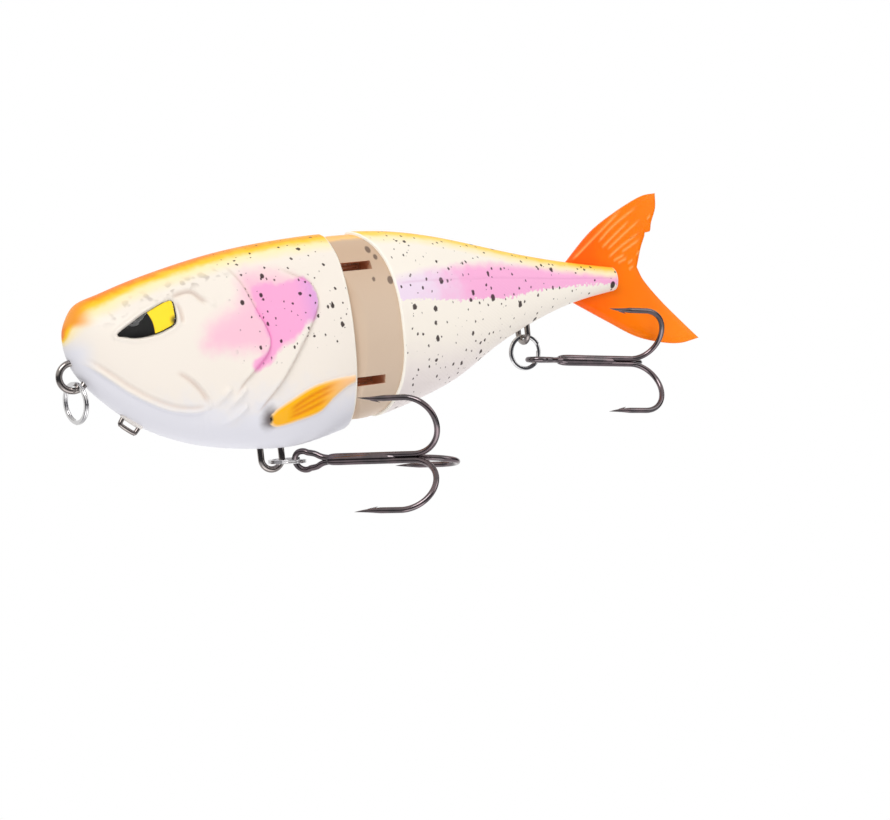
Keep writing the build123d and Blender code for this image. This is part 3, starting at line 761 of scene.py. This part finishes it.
def split_ring(name, coils, radius, at):
    """A wound ring turned into a plain mesh at its place."""
    tree, sockets = coils
    holder = bpy.data.objects.new(name + "_maker", bpy.data.meshes.new(name + "_maker"))
    bpy.context.scene.collection.objects.link(holder)
    wind = holder.modifiers.new("coils", "NODES")
    wind.node_group = tree
    wind[sockets["Coil radius"]] = radius * MM
    wind[sockets["Wire depth"]] = RING_BAND * MM
    strip = RING_WIDE / (RING_TURNS + 1)
    wind[sockets["Wire width"]] = strip * MM
    wind[sockets["Coil rise"]] = RING_TURNS * strip * MM
    holder.update_tag()
    bpy.context.view_layer.update()
    shape = holder.evaluated_get(bpy.context.evaluated_depsgraph_get())
    mesh = bpy.data.meshes.new_from_object(shape)
    bpy.data.objects.remove(holder)
    middle = Matrix.Translation((0, 0, -RING_TURNS * strip / 2 * MM))
    target = at.copy()
    target.translation = (Vector(at.translation) + Vector(NOSE)) * MM
    mesh.transform(target @ middle)
    work = bmesh.new()
    work.from_mesh(mesh)
    bmesh.ops.remove_doubles(work, verts=work.verts, dist=1e-6)
    bmesh.ops.recalc_face_normals(work, faces=work.faces)
    work.to_mesh(mesh)
    work.free()
    mesh.set_sharp_from_angle(angle=math.radians(50))
    obj = bpy.data.objects.new(name, mesh)
    bpy.context.scene.collection.objects.link(obj)
    return obj


def eye_lens(side, low, high, inset):
    """A closed lens on one side of the head inside the eye's rim. low and high are (rim, rise) of its faces
    against the skin, domed as one long round over the eye."""
    rim = smooth(EYE_RIM, 120, closed=True)[:-1]
    centre = rim.mean(0)
    rings, count = 26, len(rim)
    lean = math.atan2(*(np.array(EYE_RIM[6]) - EYE_RIM[0])[::-1]) + 0.25
    sheets = []
    for start, rise in (low, high):
        for k in range(rings):
            flat = centre + (rim - centre) * (1 - k / (rings - 1) * 0.985) * inset
            along = (flat - centre) @ [math.cos(lean), math.sin(lean)]
            across = (flat - centre) @ [-math.sin(lean), math.cos(lean)]
            dome = np.sqrt(np.maximum(1 - (along / EYE_LONG) ** 2 - (across / EYE_TALL) ** 2, 0))
            y = half_width(flat[:, 0], flat[:, 1]) + start + rise * dome
            sheets.append(np.stack([flat[:, 0], side * y, flat[:, 1]], 1))
    points = np.vstack(sheets)
    faces = grid_faces(rings, count, around=True) + grid_faces(rings, count, rings * count, around=True)
    inner, outer = (rings - 1) * count, (2 * rings - 1) * count
    faces += [tuple(range(inner, inner + count)), tuple(range(outer, outer + count))]
    for j in range(count):
        k = (j + 1) % count
        faces.append((j, k, rings * count + k, rings * count + j))
    return points, faces


def tail_mesh():
    """The soft tail: two lobes that meet on the middle line, thick at the root and thin at the edges."""
    rows, cols = 110, 46
    u = np.linspace(0, 1, rows)[:, None, None]
    v = np.linspace(0, 1, cols)[None, :, None]
    core = smooth(TAIL_CORE, rows)
    flat_points, flat_faces = [], []
    outline = []
    for outer, end in ((TAIL_UPPER, TAIL_UPPER_BACK), (TAIL_LOWER, TAIL_LOWER_BACK)):
        far, tip = smooth(outer, rows), smooth(end, cols)
        root = core[0] + (far[0] - core[0]) * np.linspace(0, 1, cols)[:, None]
        lobe = (1 - v) * core[:, None] + v * far[:, None] + (1 - u) * root[None] + u * tip[None]
        corners = ((1 - u) * (1 - v) * core[0] + (1 - u) * v * far[0]
                   + u * (1 - v) * core[-1] + u * v * far[-1])
        flat_faces += grid_faces(rows, cols, len(flat_points) * rows * cols)
        flat_points.append((lobe - corners).reshape(-1, 2))
        outline.append((far, tip))
    flat = np.vstack(flat_points)
    (up, up_end), (down, down_end) = outline
    loop = np.vstack([up, up_end[::-1][1:], down_end[1:], down[::-1][1:]])
    x, z = flat.T
    edge = np.maximum(inside(x, z, loop), 0)
    ray = np.zeros(len(x))
    for line in TAIL_RAYS:
        d, _, t = to_line(x, z, smooth(line, 24))
        ray = np.maximum(ray, np.exp(-(d / 0.3) ** 2) * soft(t, 0, 0.12) * soft(1 - t, 0, 0.2))
    thick = TAIL_HALF - 0.45 * soft(x, 156, 170)
    half = 0.18 + (thick - 0.18) * np.sqrt(soft(edge, -0.4, 1.6)) + 0.28 * ray * soft(edge, 0, 1)
    work = bmesh.new()
    size = work.verts.layers.float.new("half")
    made = [work.verts.new((p[0], 0, p[1])) for p in flat]
    for vert, h in zip(made, half):
        vert[size] = h
    for face in flat_faces:
        work.faces.new([made[k] for k in face])
    bmesh.ops.remove_doubles(work, verts=work.verts, dist=0.02)
    bmesh.ops.recalc_face_normals(work, faces=work.faces)
    work.verts.ensure_lookup_table()
    work.verts.index_update()
    n = len(work.verts)
    co = np.array([vert.co[:] for vert in work.verts])
    h = np.array([vert[size] for vert in work.verts])
    faces = [[vert.index for vert in face.verts] for face in work.faces]
    rim = [[vert.index for vert in edge_.verts] for edge_ in work.edges if edge_.is_boundary]
    work.free()
    left, right = co.copy(), co.copy()
    left[:, 1], right[:, 1] = -h, h
    sides = [tuple(f) for f in faces] + [tuple(k + n for k in reversed(f)) for f in faces]
    sides += [(a, b, b + n, a + n) for a, b in rim]
    return np.vstack([left, right]), sides


def paint_tail(obj):
    x, _, z = verts(obj).T
    ray = np.zeros(len(x))
    for line in TAIL_RAYS:
        d, _, t = to_line(x, z, smooth(line, 24))
        ray = np.maximum(ray, np.exp(-(d / 0.28) ** 2) * soft(t, 0, 0.12) * soft(1 - t, 0, 0.25))
    give(obj, "ray", ray)
    give(obj, "out", x)


# ---- materials ----

def srgb(red, green, blue):
    """A shader colour from 0-255 display values."""
    out = [c / 255 / 12.92 if c <= 10 else ((c / 255 + 0.055) / 1.055) ** 2.4 for c in (red, green, blue)]
    return (*out, 1.0)


class Look:
    """One material and short ways to wire its nodes."""

    def __init__(self, name, colour, rough, metal=0.0, **extra):
        self.material = bpy.data.materials.new(name)
        self.material.use_nodes = True
        self.tree = self.material.node_tree
        self.shader = self.tree.nodes["Principled BSDF"]
        self.shader.inputs["Base Color"].default_value = colour
        self.shader.inputs["Roughness"].default_value = rough
        self.shader.inputs["Metallic"].default_value = metal
        for key, value in extra.items():
            self.shader.inputs[key.replace("_", " ")].default_value = value

    def add(self, kind, **settings):
        node = self.tree.nodes.new(kind)
        for key, value in settings.items():
            setattr(node, key, value)
        return node

    def feed(self, socket, value):
        if isinstance(value, (int, float, tuple)):
            socket.default_value = value
        else:
            self.tree.links.new(value, socket)

    def maths(self, operation, a, b=0.0):
        node = self.add("ShaderNodeMath", operation=operation)
        self.feed(node.inputs[0], a)
        self.feed(node.inputs[1], b)
        return node.outputs[0]

    def waver(self, value, noise, amount):
        """The value made uneven by a noise."""
        return self.maths("ADD", value, self.maths("MULTIPLY", noise, amount))

    def step(self, value, low, high, start=0.0, end=1.0):
        node = self.add("ShaderNodeMapRange", interpolation_type="SMOOTHSTEP")
        names = ("Value", "From Min", "From Max", "To Min", "To Max")
        for key, given in zip(names, (value, low, high, start, end)):
            self.feed(node.inputs[key], given)
        return node.outputs[0]

    def mix(self, factor, first, second):
        node = self.add("ShaderNodeMix", data_type="RGBA")
        self.feed(node.inputs[0], factor)
        self.feed(node.inputs[6], first)
        self.feed(node.inputs[7], second)
        return node.outputs[2]

    def mark(self, name):
        return self.add("ShaderNodeAttribute", attribute_name=name).outputs["Fac"]

    def place(self):
        """The row-frame position in millimetres."""
        at = self.add("ShaderNodeTexCoord").outputs["Object"]
        scale = self.add("ShaderNodeVectorMath", operation="SCALE")
        self.tree.links.new(at, scale.inputs[0])
        scale.inputs["Scale"].default_value = 1 / MM
        return scale.outputs[0]

    def stretch(self, vector, x, y, z):
        node = self.add("ShaderNodeVectorMath", operation="MULTIPLY")
        self.tree.links.new(vector, node.inputs[0])
        node.inputs[1].default_value = (x, y, z)
        return node.outputs[0]

    def noise(self, vector, scale, detail=2.0):
        node = self.add("ShaderNodeTexNoise")
        self.tree.links.new(vector, node.inputs["Vector"])
        node.inputs["Scale"].default_value = scale
        node.inputs["Detail"].default_value = detail
        return self.maths("SUBTRACT", node.outputs["Fac"], 0.5)

    def axes(self, vector):
        node = self.add("ShaderNodeSeparateXYZ")
        self.tree.links.new(vector, node.inputs[0])
        return node.outputs

    def bump(self, height, strength, distance):
        node = self.add("ShaderNodeBump")
        node.inputs["Strength"].default_value = strength
        node.inputs["Distance"].default_value = distance
        self.feed(node.inputs["Height"], height)
        self.tree.links.new(node.outputs[0], self.shader.inputs["Normal"])

    def colour(self, value):
        self.feed(self.shader.inputs["Base Color"], value)
        return self.material


def speckle(look, at, cell, small, large, soft_edge):
    """Airbrushed specks scattered through space: 1 on a speck."""
    warp = look.add("ShaderNodeVectorMath", operation="MULTIPLY_ADD")
    wave = look.add("ShaderNodeTexNoise")
    look.tree.links.new(at, wave.inputs["Vector"])
    wave.inputs["Scale"].default_value = 1.1
    look.tree.links.new(wave.outputs["Color"], warp.inputs[0])
    warp.inputs[1].default_value = (0.7, 0.7, 0.7)
    look.tree.links.new(at, warp.inputs[2])
    cells = look.add("ShaderNodeTexVoronoi")
    look.tree.links.new(look.stretch(warp.outputs[0], 1.0, 1.0, 0.72), cells.inputs["Vector"])
    cells.inputs["Scale"].default_value = 1 / cell
    pick = look.axes(cells.outputs["Color"])[0]
    radius = look.maths("ADD", look.maths("MULTIPLY", pick, large - small), small)
    away = look.maths("SUBTRACT", look.maths("MULTIPLY", cells.outputs["Distance"], cell), radius)
    return look.step(away, -soft_edge, soft_edge, 1.0, 0.0)


def window(look, value, low, high, edge):
    rise = look.step(value, low - edge, low + edge)
    fall = look.step(value, high - edge, high + edge, 1.0, 0.0)
    return look.maths("MULTIPLY", rise, fall)


def specks(look, at, colour, where, largest):
    big = speckle(look, at, 3.0, 0.05, largest, 0.1)
    little = speckle(look, at, 1.5, 0.02, 0.34, 0.07)
    both = look.maths("MULTIPLY", look.maths("MAXIMUM", big, little), where)
    return look.mix(look.maths("MULTIPLY", both, 0.94), colour, srgb(52, 38, 38))


def crest_paint(look, colour, crest, bands):
    for start, end, shade in bands:
        colour = look.mix(look.step(crest, start, end, 1.0, 0.0), colour, srgb(*shade))
    return colour


def front_paint():
    look = Look("front_paint", srgb(250, 244, 232), 0.4, **PEARL)
    at = look.place()
    x, _, z = look.axes(at)
    wobble, fine = look.noise(at, 0.33), look.noise(at, 1.4)
    cool = look.step(look.waver(z, wobble, 8.0), -17.0, -4.0)
    colour = look.mix(cool, srgb(231, 230, 236), srgb(244, 235, 224))
    jaw = look.maths("MULTIPLY", look.step(look.mark("jaw"), 0.1, 0.8), look.step(x, 24.0, 34.0, 1.0, 0.0))
    lips = look.maths("MULTIPLY", look.step(x, 0.0, 5.0, 1.0, 0.0), look.step(z, 5.0, 9.5, 1.0, 0.0))
    colour = look.mix(look.maths("MAXIMUM", jaw, lips), colour, srgb(231, 230, 236))
    haze = look.step(look.waver(look.mark("haze"), wobble, 3.0), -1.2, 5.0)
    colour = look.mix(look.maths("MULTIPLY", haze, 0.9), colour, srgb(250, 194, 214))
    blush = look.step(look.waver(look.mark("blush"), wobble, 3.0), -0.6, 0.9)
    pink = look.mix(look.step(x, 50.0, 60.0), srgb(250, 172, 214), srgb(214, 162, 222))
    colour = look.mix(blush, colour, pink)
    crest = look.maths("ADD", look.maths("MULTIPLY", look.mark("crest"), look.step(x, 3.0, 16.0, 0.8, 1.0)),
                       look.maths("MULTIPLY", wobble, 1.1))
    crest = look.maths("ADD", crest, look.step(z, 5.0, 9.5, 3.0, 0.0))
    patches = look.step(look.noise(at, 0.42, 1.0), 0.03, 0.17)
    smudge = look.maths("MULTIPLY", patches, window(look, crest, 2.8, 6.0, 1.0))
    smudge = look.maths("MULTIPLY", smudge, window(look, x, 7.0, 36.0, 3.0))
    colour = look.mix(look.maths("MULTIPLY", smudge, 0.4), colour, srgb(140, 122, 110))
    colour = crest_paint(look, colour, crest, ((2.1, 5.4, (255, 236, 186)), (1.3, 2.8, (255, 206, 52)),
                                               (0.5, 1.6, (255, 172, 8))))
    head = look.maths("MULTIPLY", look.step(crest, -0.1, 1.1, 1.0, 0.0), look.step(x, 28.0, 62.0, 1.0, 0.1))
    colour = look.mix(head, colour, srgb(246, 126, 0))
    snout = look.maths("MULTIPLY", look.step(x, 0.5, 5.5, 1.0, 0.0), look.step(z, 10.4, 12.6))
    colour = look.mix(snout, colour, srgb(250, 160, 56))
    where = look.maths("MULTIPLY", look.step(x, 34.0, 39.0), look.step(z, -3.0, 0.0))
    colour = specks(look, at, colour, where, 0.52)
    # Painted shade: the creases of the moulded face are darkened, pinker inside the blush.
    crease_shade = look.mark("crease_shade")
    shade = look.mix(blush, srgb(214, 190, 176), srgb(244, 100, 184))
    colour = look.mix(look.maths("MULTIPLY", crease_shade, 0.5), colour, shade)
    colour = look.mix(look.step(look.mark("spot"), -0.1, 0.12, 0.95, 0.0), colour, srgb(44, 32, 32))
    fin = look.mark("fin")
    root = look.step(look.waver(look.mark("fin_root"), wobble, 2.4), 0.1, 1.0, 1.0, 0.0)
    blade = look.mix(look.step(x, 54.0, 65.0), srgb(255, 184, 26), srgb(255, 202, 150))
    blade = look.mix(look.maths("MULTIPLY", look.mark("fin_ray"), 0.65), blade, srgb(238, 120, 2))
    blade = look.mix(look.step(fin, 0.15, 0.9, 0.6, 0.0), blade, srgb(255, 236, 205))
    blade = look.mix(root, blade, srgb(18, 14, 15))
    edge = look.step(look.maths("ADD", fin, look.maths("MULTIPLY", fine, 0.3)), -0.05, 0.3)
    halo = look.step(look.waver(look.mark("fin_root"), wobble, 1.5), 0.3, 3.2, 0.85, 0.0)
    colour = look.mix(halo, colour, srgb(62, 40, 32))
    colour = look.mix(edge, colour, blade)
    # Painted highlight: a near-white line along the lip's rounded edge, where it catches the light.
    rim = look.waver(look.mark("rim"), wobble, 0.5)
    colour = look.mix(look.step(rim, 0.35, 0.7, 1.0, 0.0), colour, srgb(255, 249, 236))
    colour = look.mix(look.mark("seat"), colour, srgb(212, 180, 144))
    look.bump(look.noise(at, 2.4, 3.0), 0.12, 0.0001)
    return look.colour(colour)


def rear_paint():
    look = Look("rear_paint", srgb(250, 244, 232), 0.4, **PEARL)
    at = look.place()
    x, _, z = look.axes(at)
    wobble, fine = look.noise(at, 0.33), look.noise(at, 1.4, 3.0)
    cool = look.step(look.waver(z, wobble, 6.0), -12.0, 2.0)
    colour = look.mix(cool, srgb(238, 228, 224), srgb(248, 240, 228))
    top = look.step(look.waver(look.mark("below_top"), wobble, 2.0), -1.0, 2.2)
    foot = look.step(look.waver(look.mark("above_foot"), fine, 3.2), -0.2, 0.25)
    pink = look.mix(look.step(look.waver(x, wobble, 12.0), 84.0, 104.0), srgb(240, 220, 238),
                    srgb(249, 178, 218))
    colour = look.mix(look.maths("MULTIPLY", top, foot), colour, pink)
    crest = look.waver(look.mark("crest"), wobble, 1.0)
    colour = crest_paint(look, colour, crest, ((1.6, 4.2, (255, 236, 188)), (0.7, 2.3, (255, 210, 76)),
                                               (-0.1, 0.8, (255, 178, 20))))
    colour = specks(look, at, colour, look.step(x, 76.0, 79.0), 0.7)
    # Painted shade: the lateral line's groove is darkened with a deeper pink.
    colour = look.mix(look.maths("MULTIPLY", look.mark("crease_shade"), 0.6), colour, srgb(206, 140, 180))
    colour = look.mix(look.step(look.mark("spot"), -0.1, 0.12, 0.95, 0.0), colour, srgb(44, 32, 32))
    # Painted highlight: a near-white line along the shoulder and the tail end, where their rounded edges
    # catch the light.
    rim = look.waver(look.mark("rim"), wobble, 0.4)
    colour = look.mix(look.step(rim, 0.3, 0.65, 1.0, 0.0), colour, srgb(255, 250, 238))
    slant = look.maths("ADD", look.maths("MULTIPLY", x, 0.7), z)
    hatch = look.maths("SINE", look.maths("MULTIPLY", slant, 7.0))
    look.bump(look.maths("ADD", look.maths("MULTIPLY", hatch, 0.3), look.noise(at, 2.4, 3.0)), 0.12, 0.0001)
    return look.colour(colour)


def barrel_paint():
    look = Look("barrel_plastic", srgb(220, 196, 170), 0.42, **{"Coat Weight": 0.25, "Coat Roughness": 0.2})
    at = look.place()
    _, _, z = look.axes(at)
    wobble = look.noise(at, 0.3)
    colour = look.mix(look.step(z, 4.0, 24.0), srgb(214, 190, 166), srgb(204, 174, 146))
    crest = look.waver(look.mark("crest"), wobble, 0.9)
    colour = crest_paint(look, colour, crest, ((0.9, 2.0, (255, 200, 110)), (0.3, 1.2, (255, 176, 50))))
    colour = look.mix(look.step(look.mark("spot"), -0.15, 0.2, 0.85, 0.0), colour, srgb(96, 72, 58))
    return look.colour(colour)


def slot_paint():
    look = Look("slot_orange", srgb(246, 186, 130), 0.5)
    # Painted light: the slot walls glow faintly so their shaded inside reads lighter.
    look.shader.inputs["Emission Color"].default_value = srgb(140, 88, 62)
    look.shader.inputs["Emission Strength"].default_value = 0.25
    shade = look.step(look.noise(look.place(), 0.8), -0.2, 0.2)
    return look.colour(look.mix(shade, srgb(226, 178, 140), srgb(196, 142, 104)))


def eye_paint():
    look = Look("eye_print", srgb(250, 205, 40), 0.5, **{"Specular IOR Level": 0.0})
    fine = look.noise(look.place(), 2.0)
    iris = look.mix(look.step(look.mark("corner"), 0.3, 1.7), srgb(90, 66, 22), srgb(255, 226, 40))
    colour = look.mix(look.step(look.waver(look.mark("pupil"), fine, 0.1), -0.12, 0.12),
                      iris, srgb(3, 3, 4))
    colour = look.mix(look.step(look.mark("edge"), 0.2, 0.36, 1.0, 0.0), colour, srgb(30, 24, 18))
    # Painted light: the print glows faintly with its own colour, to make up for the light the clear cap
    # blocks.
    look.feed(look.shader.inputs["Emission Color"], colour)
    look.shader.inputs["Emission Strength"].default_value = 0.3
    return look.colour(colour)


def soft_tail():
    rubber = {"Subsurface Weight": 0.15, "Subsurface Scale": 0.001, "Specular IOR Level": 0.15}
    look = Look("soft_tail", srgb(255, 120, 22), 0.32, **rubber)
    look.shader.inputs["Subsurface Radius"].default_value = (1.0, 0.4, 0.1)
    at = look.place()
    out = look.maths("ADD", look.mark("out"), look.maths("MULTIPLY", look.noise(at, 0.3), 6.0))
    colour = look.mix(look.step(out, 140.0, 158.0), srgb(250, 96, 2), srgb(252, 122, 2))
    colour = look.mix(look.step(out, 160.0, 176.0, 0.0, 0.5), colour, srgb(255, 150, 40))
    colour = look.mix(look.maths("MULTIPLY", look.mark("ray"), 0.75), colour, srgb(255, 176, 98))
    look.bump(look.noise(at, 1.5, 3.0), 0.15, 0.0002)
    # Painted light: the tail glows faintly with its own colour.
    look.feed(look.shader.inputs["Emission Color"], colour)
    look.shader.inputs["Emission Strength"].default_value = 0.09
    return look.colour(colour)


def metal(name, colour, rough, tint=None):
    """Plated wire, with a faint unevenness in the plating."""
    look = Look(name, (*colour, 1.0), rough, 1.0)
    at = look.place()
    if tint:
        look.colour(look.mix(look.step(look.noise(at, 0.25), -0.15, 0.15), (*colour, 1.0), (*tint, 1.0)))
    look.bump(look.noise(at, 1.2, 3.0), 0.08, 0.00008)
    return look.material


def clear_dome():
    return Look("clear_dome", (1, 1, 1, 1), 0.02, **{"Transmission Weight": 1.0, "IOR": 1.3}).material


def paper(name, colour):
    return Look(name, srgb(*colour), 0.9).material


def wear(obj, *materials):
    obj.data.materials.clear()
    for material in materials:
        obj.data.materials.append(material)


# ---- the lure ----

nickel = metal("nickel_wire", (0.34, 0.31, 0.29), 0.17, (0.26, 0.23, 0.22))
pin_steel = metal("pin_steel", (0.74, 0.74, 0.75), 0.2)
chrome = metal("ring_steel", (0.62, 0.61, 0.61), 0.09)
black_nickel = metal("black_nickel", (0.13, 0.115, 0.12), 0.14, (0.20, 0.155, 0.165))
slug_metal = metal("slug_metal", (0.34, 0.34, 0.36), 0.5, (0.27, 0.27, 0.29))

front = front_skin()
paint_front(front)
wear(front, front_paint())
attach(front, "front")
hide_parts("front_shell_left", "front_shell_right")

rear = add_mesh("rear_section", *rear_skin(), weld=0.003)
paint_rear(rear)
wear(rear, rear_paint())
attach(rear, "rear")
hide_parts("rear_shell_left", "rear_shell_right")

hub = add_mesh("rear_barrel", *barrel(), weld=0.003)
cut_slots(hub)
wear(hub, barrel_paint(), slot_paint())
paint_barrel(hub)
hub.data.set_sharp_from_angle(angle=math.radians(40))
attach(hub, "rear")

print_look, dome_look = eye_paint(), clear_dome()
for word, side in (("left", -1), ("right", 1)):
    disc = add_mesh(word + "_eye_print", *eye_lens(side, (-0.95, 0.0), (-0.48, 0.12), 1.0))
    x, _, z = verts(disc).T
    gap, across, _ = to_line(x, z, smooth(PUPIL_EDGE, 30))
    give(disc, "pupil", gap * -across)
    give(disc, "edge", inside(x, z, smooth(EYE_RIM, 100, closed=True)))
    give(disc, "corner", np.hypot(x - EYE_CORNER[0], z - EYE_CORNER[1]))
    wear(disc, print_look)
    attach(disc, "front")
    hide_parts(word + "_eye_disc")
    dome = add_mesh(word + "_eye_cap", *eye_lens(side, (-0.46, 0.12), (-0.42, 0.85), 0.99))
    wear(dome, dome_look)
    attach(dome, "front")
    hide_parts(word + "_eye_dome")

for name, (body, parts) in wires().items():
    wire = add_mesh(name + "_wire", *join(parts))
    wear(wire, pin_steel if "hinge" in name else nickel)
    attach(wire, body)
    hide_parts(name)

pad = add_mesh("chin_pad", *boss())
wear(pad, paper("pad_paint", (240, 234, 228)))
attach(pad, "front")

coils = coil_tree(chrome)
line_at = place((TIE_CENTRE[0], 0, LINE_RING_Z), (LINE_RING_TURN, "Z"), (90, "Y"))
belly_at = place(BELLY_PIVOT, (BELLY_RING_TILT, "Y")) @ place((HOOK_RING_R, 0, 0))
tail_at = place((TAIL_EYE[0], 0, TAIL_RING_Z), (90, "X"))
for name, radius, at in (("line_ring", LINE_RING_R, line_at), ("belly_ring", HOOK_RING_R, belly_at),
                         ("tail_ring", HOOK_RING_R, tail_at)):
    ring = split_ring(name + "_coils", coils, radius, at)
    wear(ring, chrome)
    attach(ring, name)
    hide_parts(name)

belly_swing = place((0, 0, 0), (BELLY_HOOK_YAW, "Z"))
belly_hook = belly_at @ belly_swing @ place((HOOK_RING_R + 0.4, 0, 0), (BELLY_HOOK_ROLL, "X"))
tail_hook = place(TAIL_LINK, (TAIL_HOOK_DROOP, "Y"), (-90, "X"))
for name, at in (("belly_treble", belly_hook), ("tail_treble", tail_hook)):
    hook = add_mesh(name + "_hook", *treble(at))
    wear(hook, black_nickel)
    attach(hook, name)
    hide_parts(name)

fin = add_mesh("soft_tail_fin", *tail_mesh(), weld=0.002)
paint_tail(fin)
wear(fin, soft_tail())
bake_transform(fin)
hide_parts("tail_root", "tail_fin")

for node in ("front_ballast", "rear_ballast"):
    wear(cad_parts[node], slug_metal)
wear(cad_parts["hinge_pin"], pin_steel)


# ---- stage, lights and camera ----

def sheet_of(name, centre, size, turns, material):
    """A flat card that fills the background."""
    mesh = bpy.data.meshes.new(name)
    w, h = size[0] / 2, size[1] / 2
    mesh.from_pydata([(-w, -h, 0), (w, -h, 0), (w, h, 0), (-w, h, 0)], [], [(0, 1, 2, 3)])
    obj = bpy.data.objects.new(name, mesh)
    bpy.context.scene.collection.objects.link(obj)
    obj.location = centre
    obj.rotation_euler = [math.radians(t) for t in turns]
    obj.data.materials.append(material)
    return obj


def lamp(name, place_at, target, size, power, colour=(1, 1, 1)):
    light = bpy.data.lights.new(name, "AREA")
    light.shape = "RECTANGLE"
    light.size, light.size_y = size
    light.energy = power
    light.color = colour
    obj = bpy.data.objects.new(name, light)
    bpy.context.scene.collection.objects.link(obj)
    obj.location = place_at
    obj.rotation_euler = (Vector(target) - Vector(place_at)).to_track_quat("-Z", "Y").to_euler()
    return obj


middle = sum((Vector(c) for c in cad_bounds), Vector()) / 2
white = Look("backdrop_white", (0, 0, 0, 1), 1.0, **{"Emission Color": (1, 1, 1, 1), "Emission Strength": 1.0,
                                                     "Specular IOR Level": 0.0}).material
backdrop = sheet_of("backdrop", (0.25, 0.9, 0), (3.2, 3.2), (90, 0, 0), white)
lamp("key", (-0.45, -0.75, 0.85), middle, (0.7, 0.5), 6.9)
lamp("fill", (0.85, -0.6, 0.25), middle, (0.5, 0.8), 1.6)
lamp("bounce", (-0.1, -0.55, -0.75), middle, (1.2, 0.6), 3.6)

scene = bpy.context.scene
scene.view_settings.view_transform = "Standard"
world = bpy.data.worlds.new("studio")
world.use_nodes = True
sky = world.node_tree.nodes
ramp = sky.new("ShaderNodeValToRGB")
height = sky.new("ShaderNodeSeparateXYZ")
facing = sky.new("ShaderNodeTexCoord")
level = sky.new("ShaderNodeMapRange")
level.inputs["From Min"].default_value = -1.0
world.node_tree.links.new(facing.outputs["Generated"], height.inputs[0])
world.node_tree.links.new(height.outputs[2], level.inputs["Value"])
world.node_tree.links.new(level.outputs[0], ramp.inputs["Fac"])
world.node_tree.links.new(ramp.outputs["Color"], sky["Background"].inputs["Color"])
bands = ramp.color_ramp.elements
bands[0].position, bands[1].position = 0.32, 0.68
bands[0].color, bands[1].color = (0.92, 0.92, 0.95, 1), (1, 0.99, 0.97, 1)
for position in (0.41, 0.57):
    bands.new(position).color = (0.08, 0.08, 0.09, 1)
sky["Background"].inputs["Strength"].default_value = 0.8
scene.world = world

camera = bpy.data.objects.new("camera", bpy.data.cameras.new("camera"))
scene.collection.objects.link(camera)
camera.data.lens = 74.155
camera.data.sensor_width = 36.0
azimuth, elevation, roll = math.radians(-28), math.radians(3), math.radians(-6.3)
camera.matrix_world = (Matrix.Translation((-0.123484, -0.411576, 0.005160)) @ Matrix.Rotation(azimuth, 4, "Z")
                       @ Matrix.Rotation(math.pi / 2 - elevation, 4, "X") @ Matrix.Rotation(roll, 4, "Z"))
scene.camera = camera
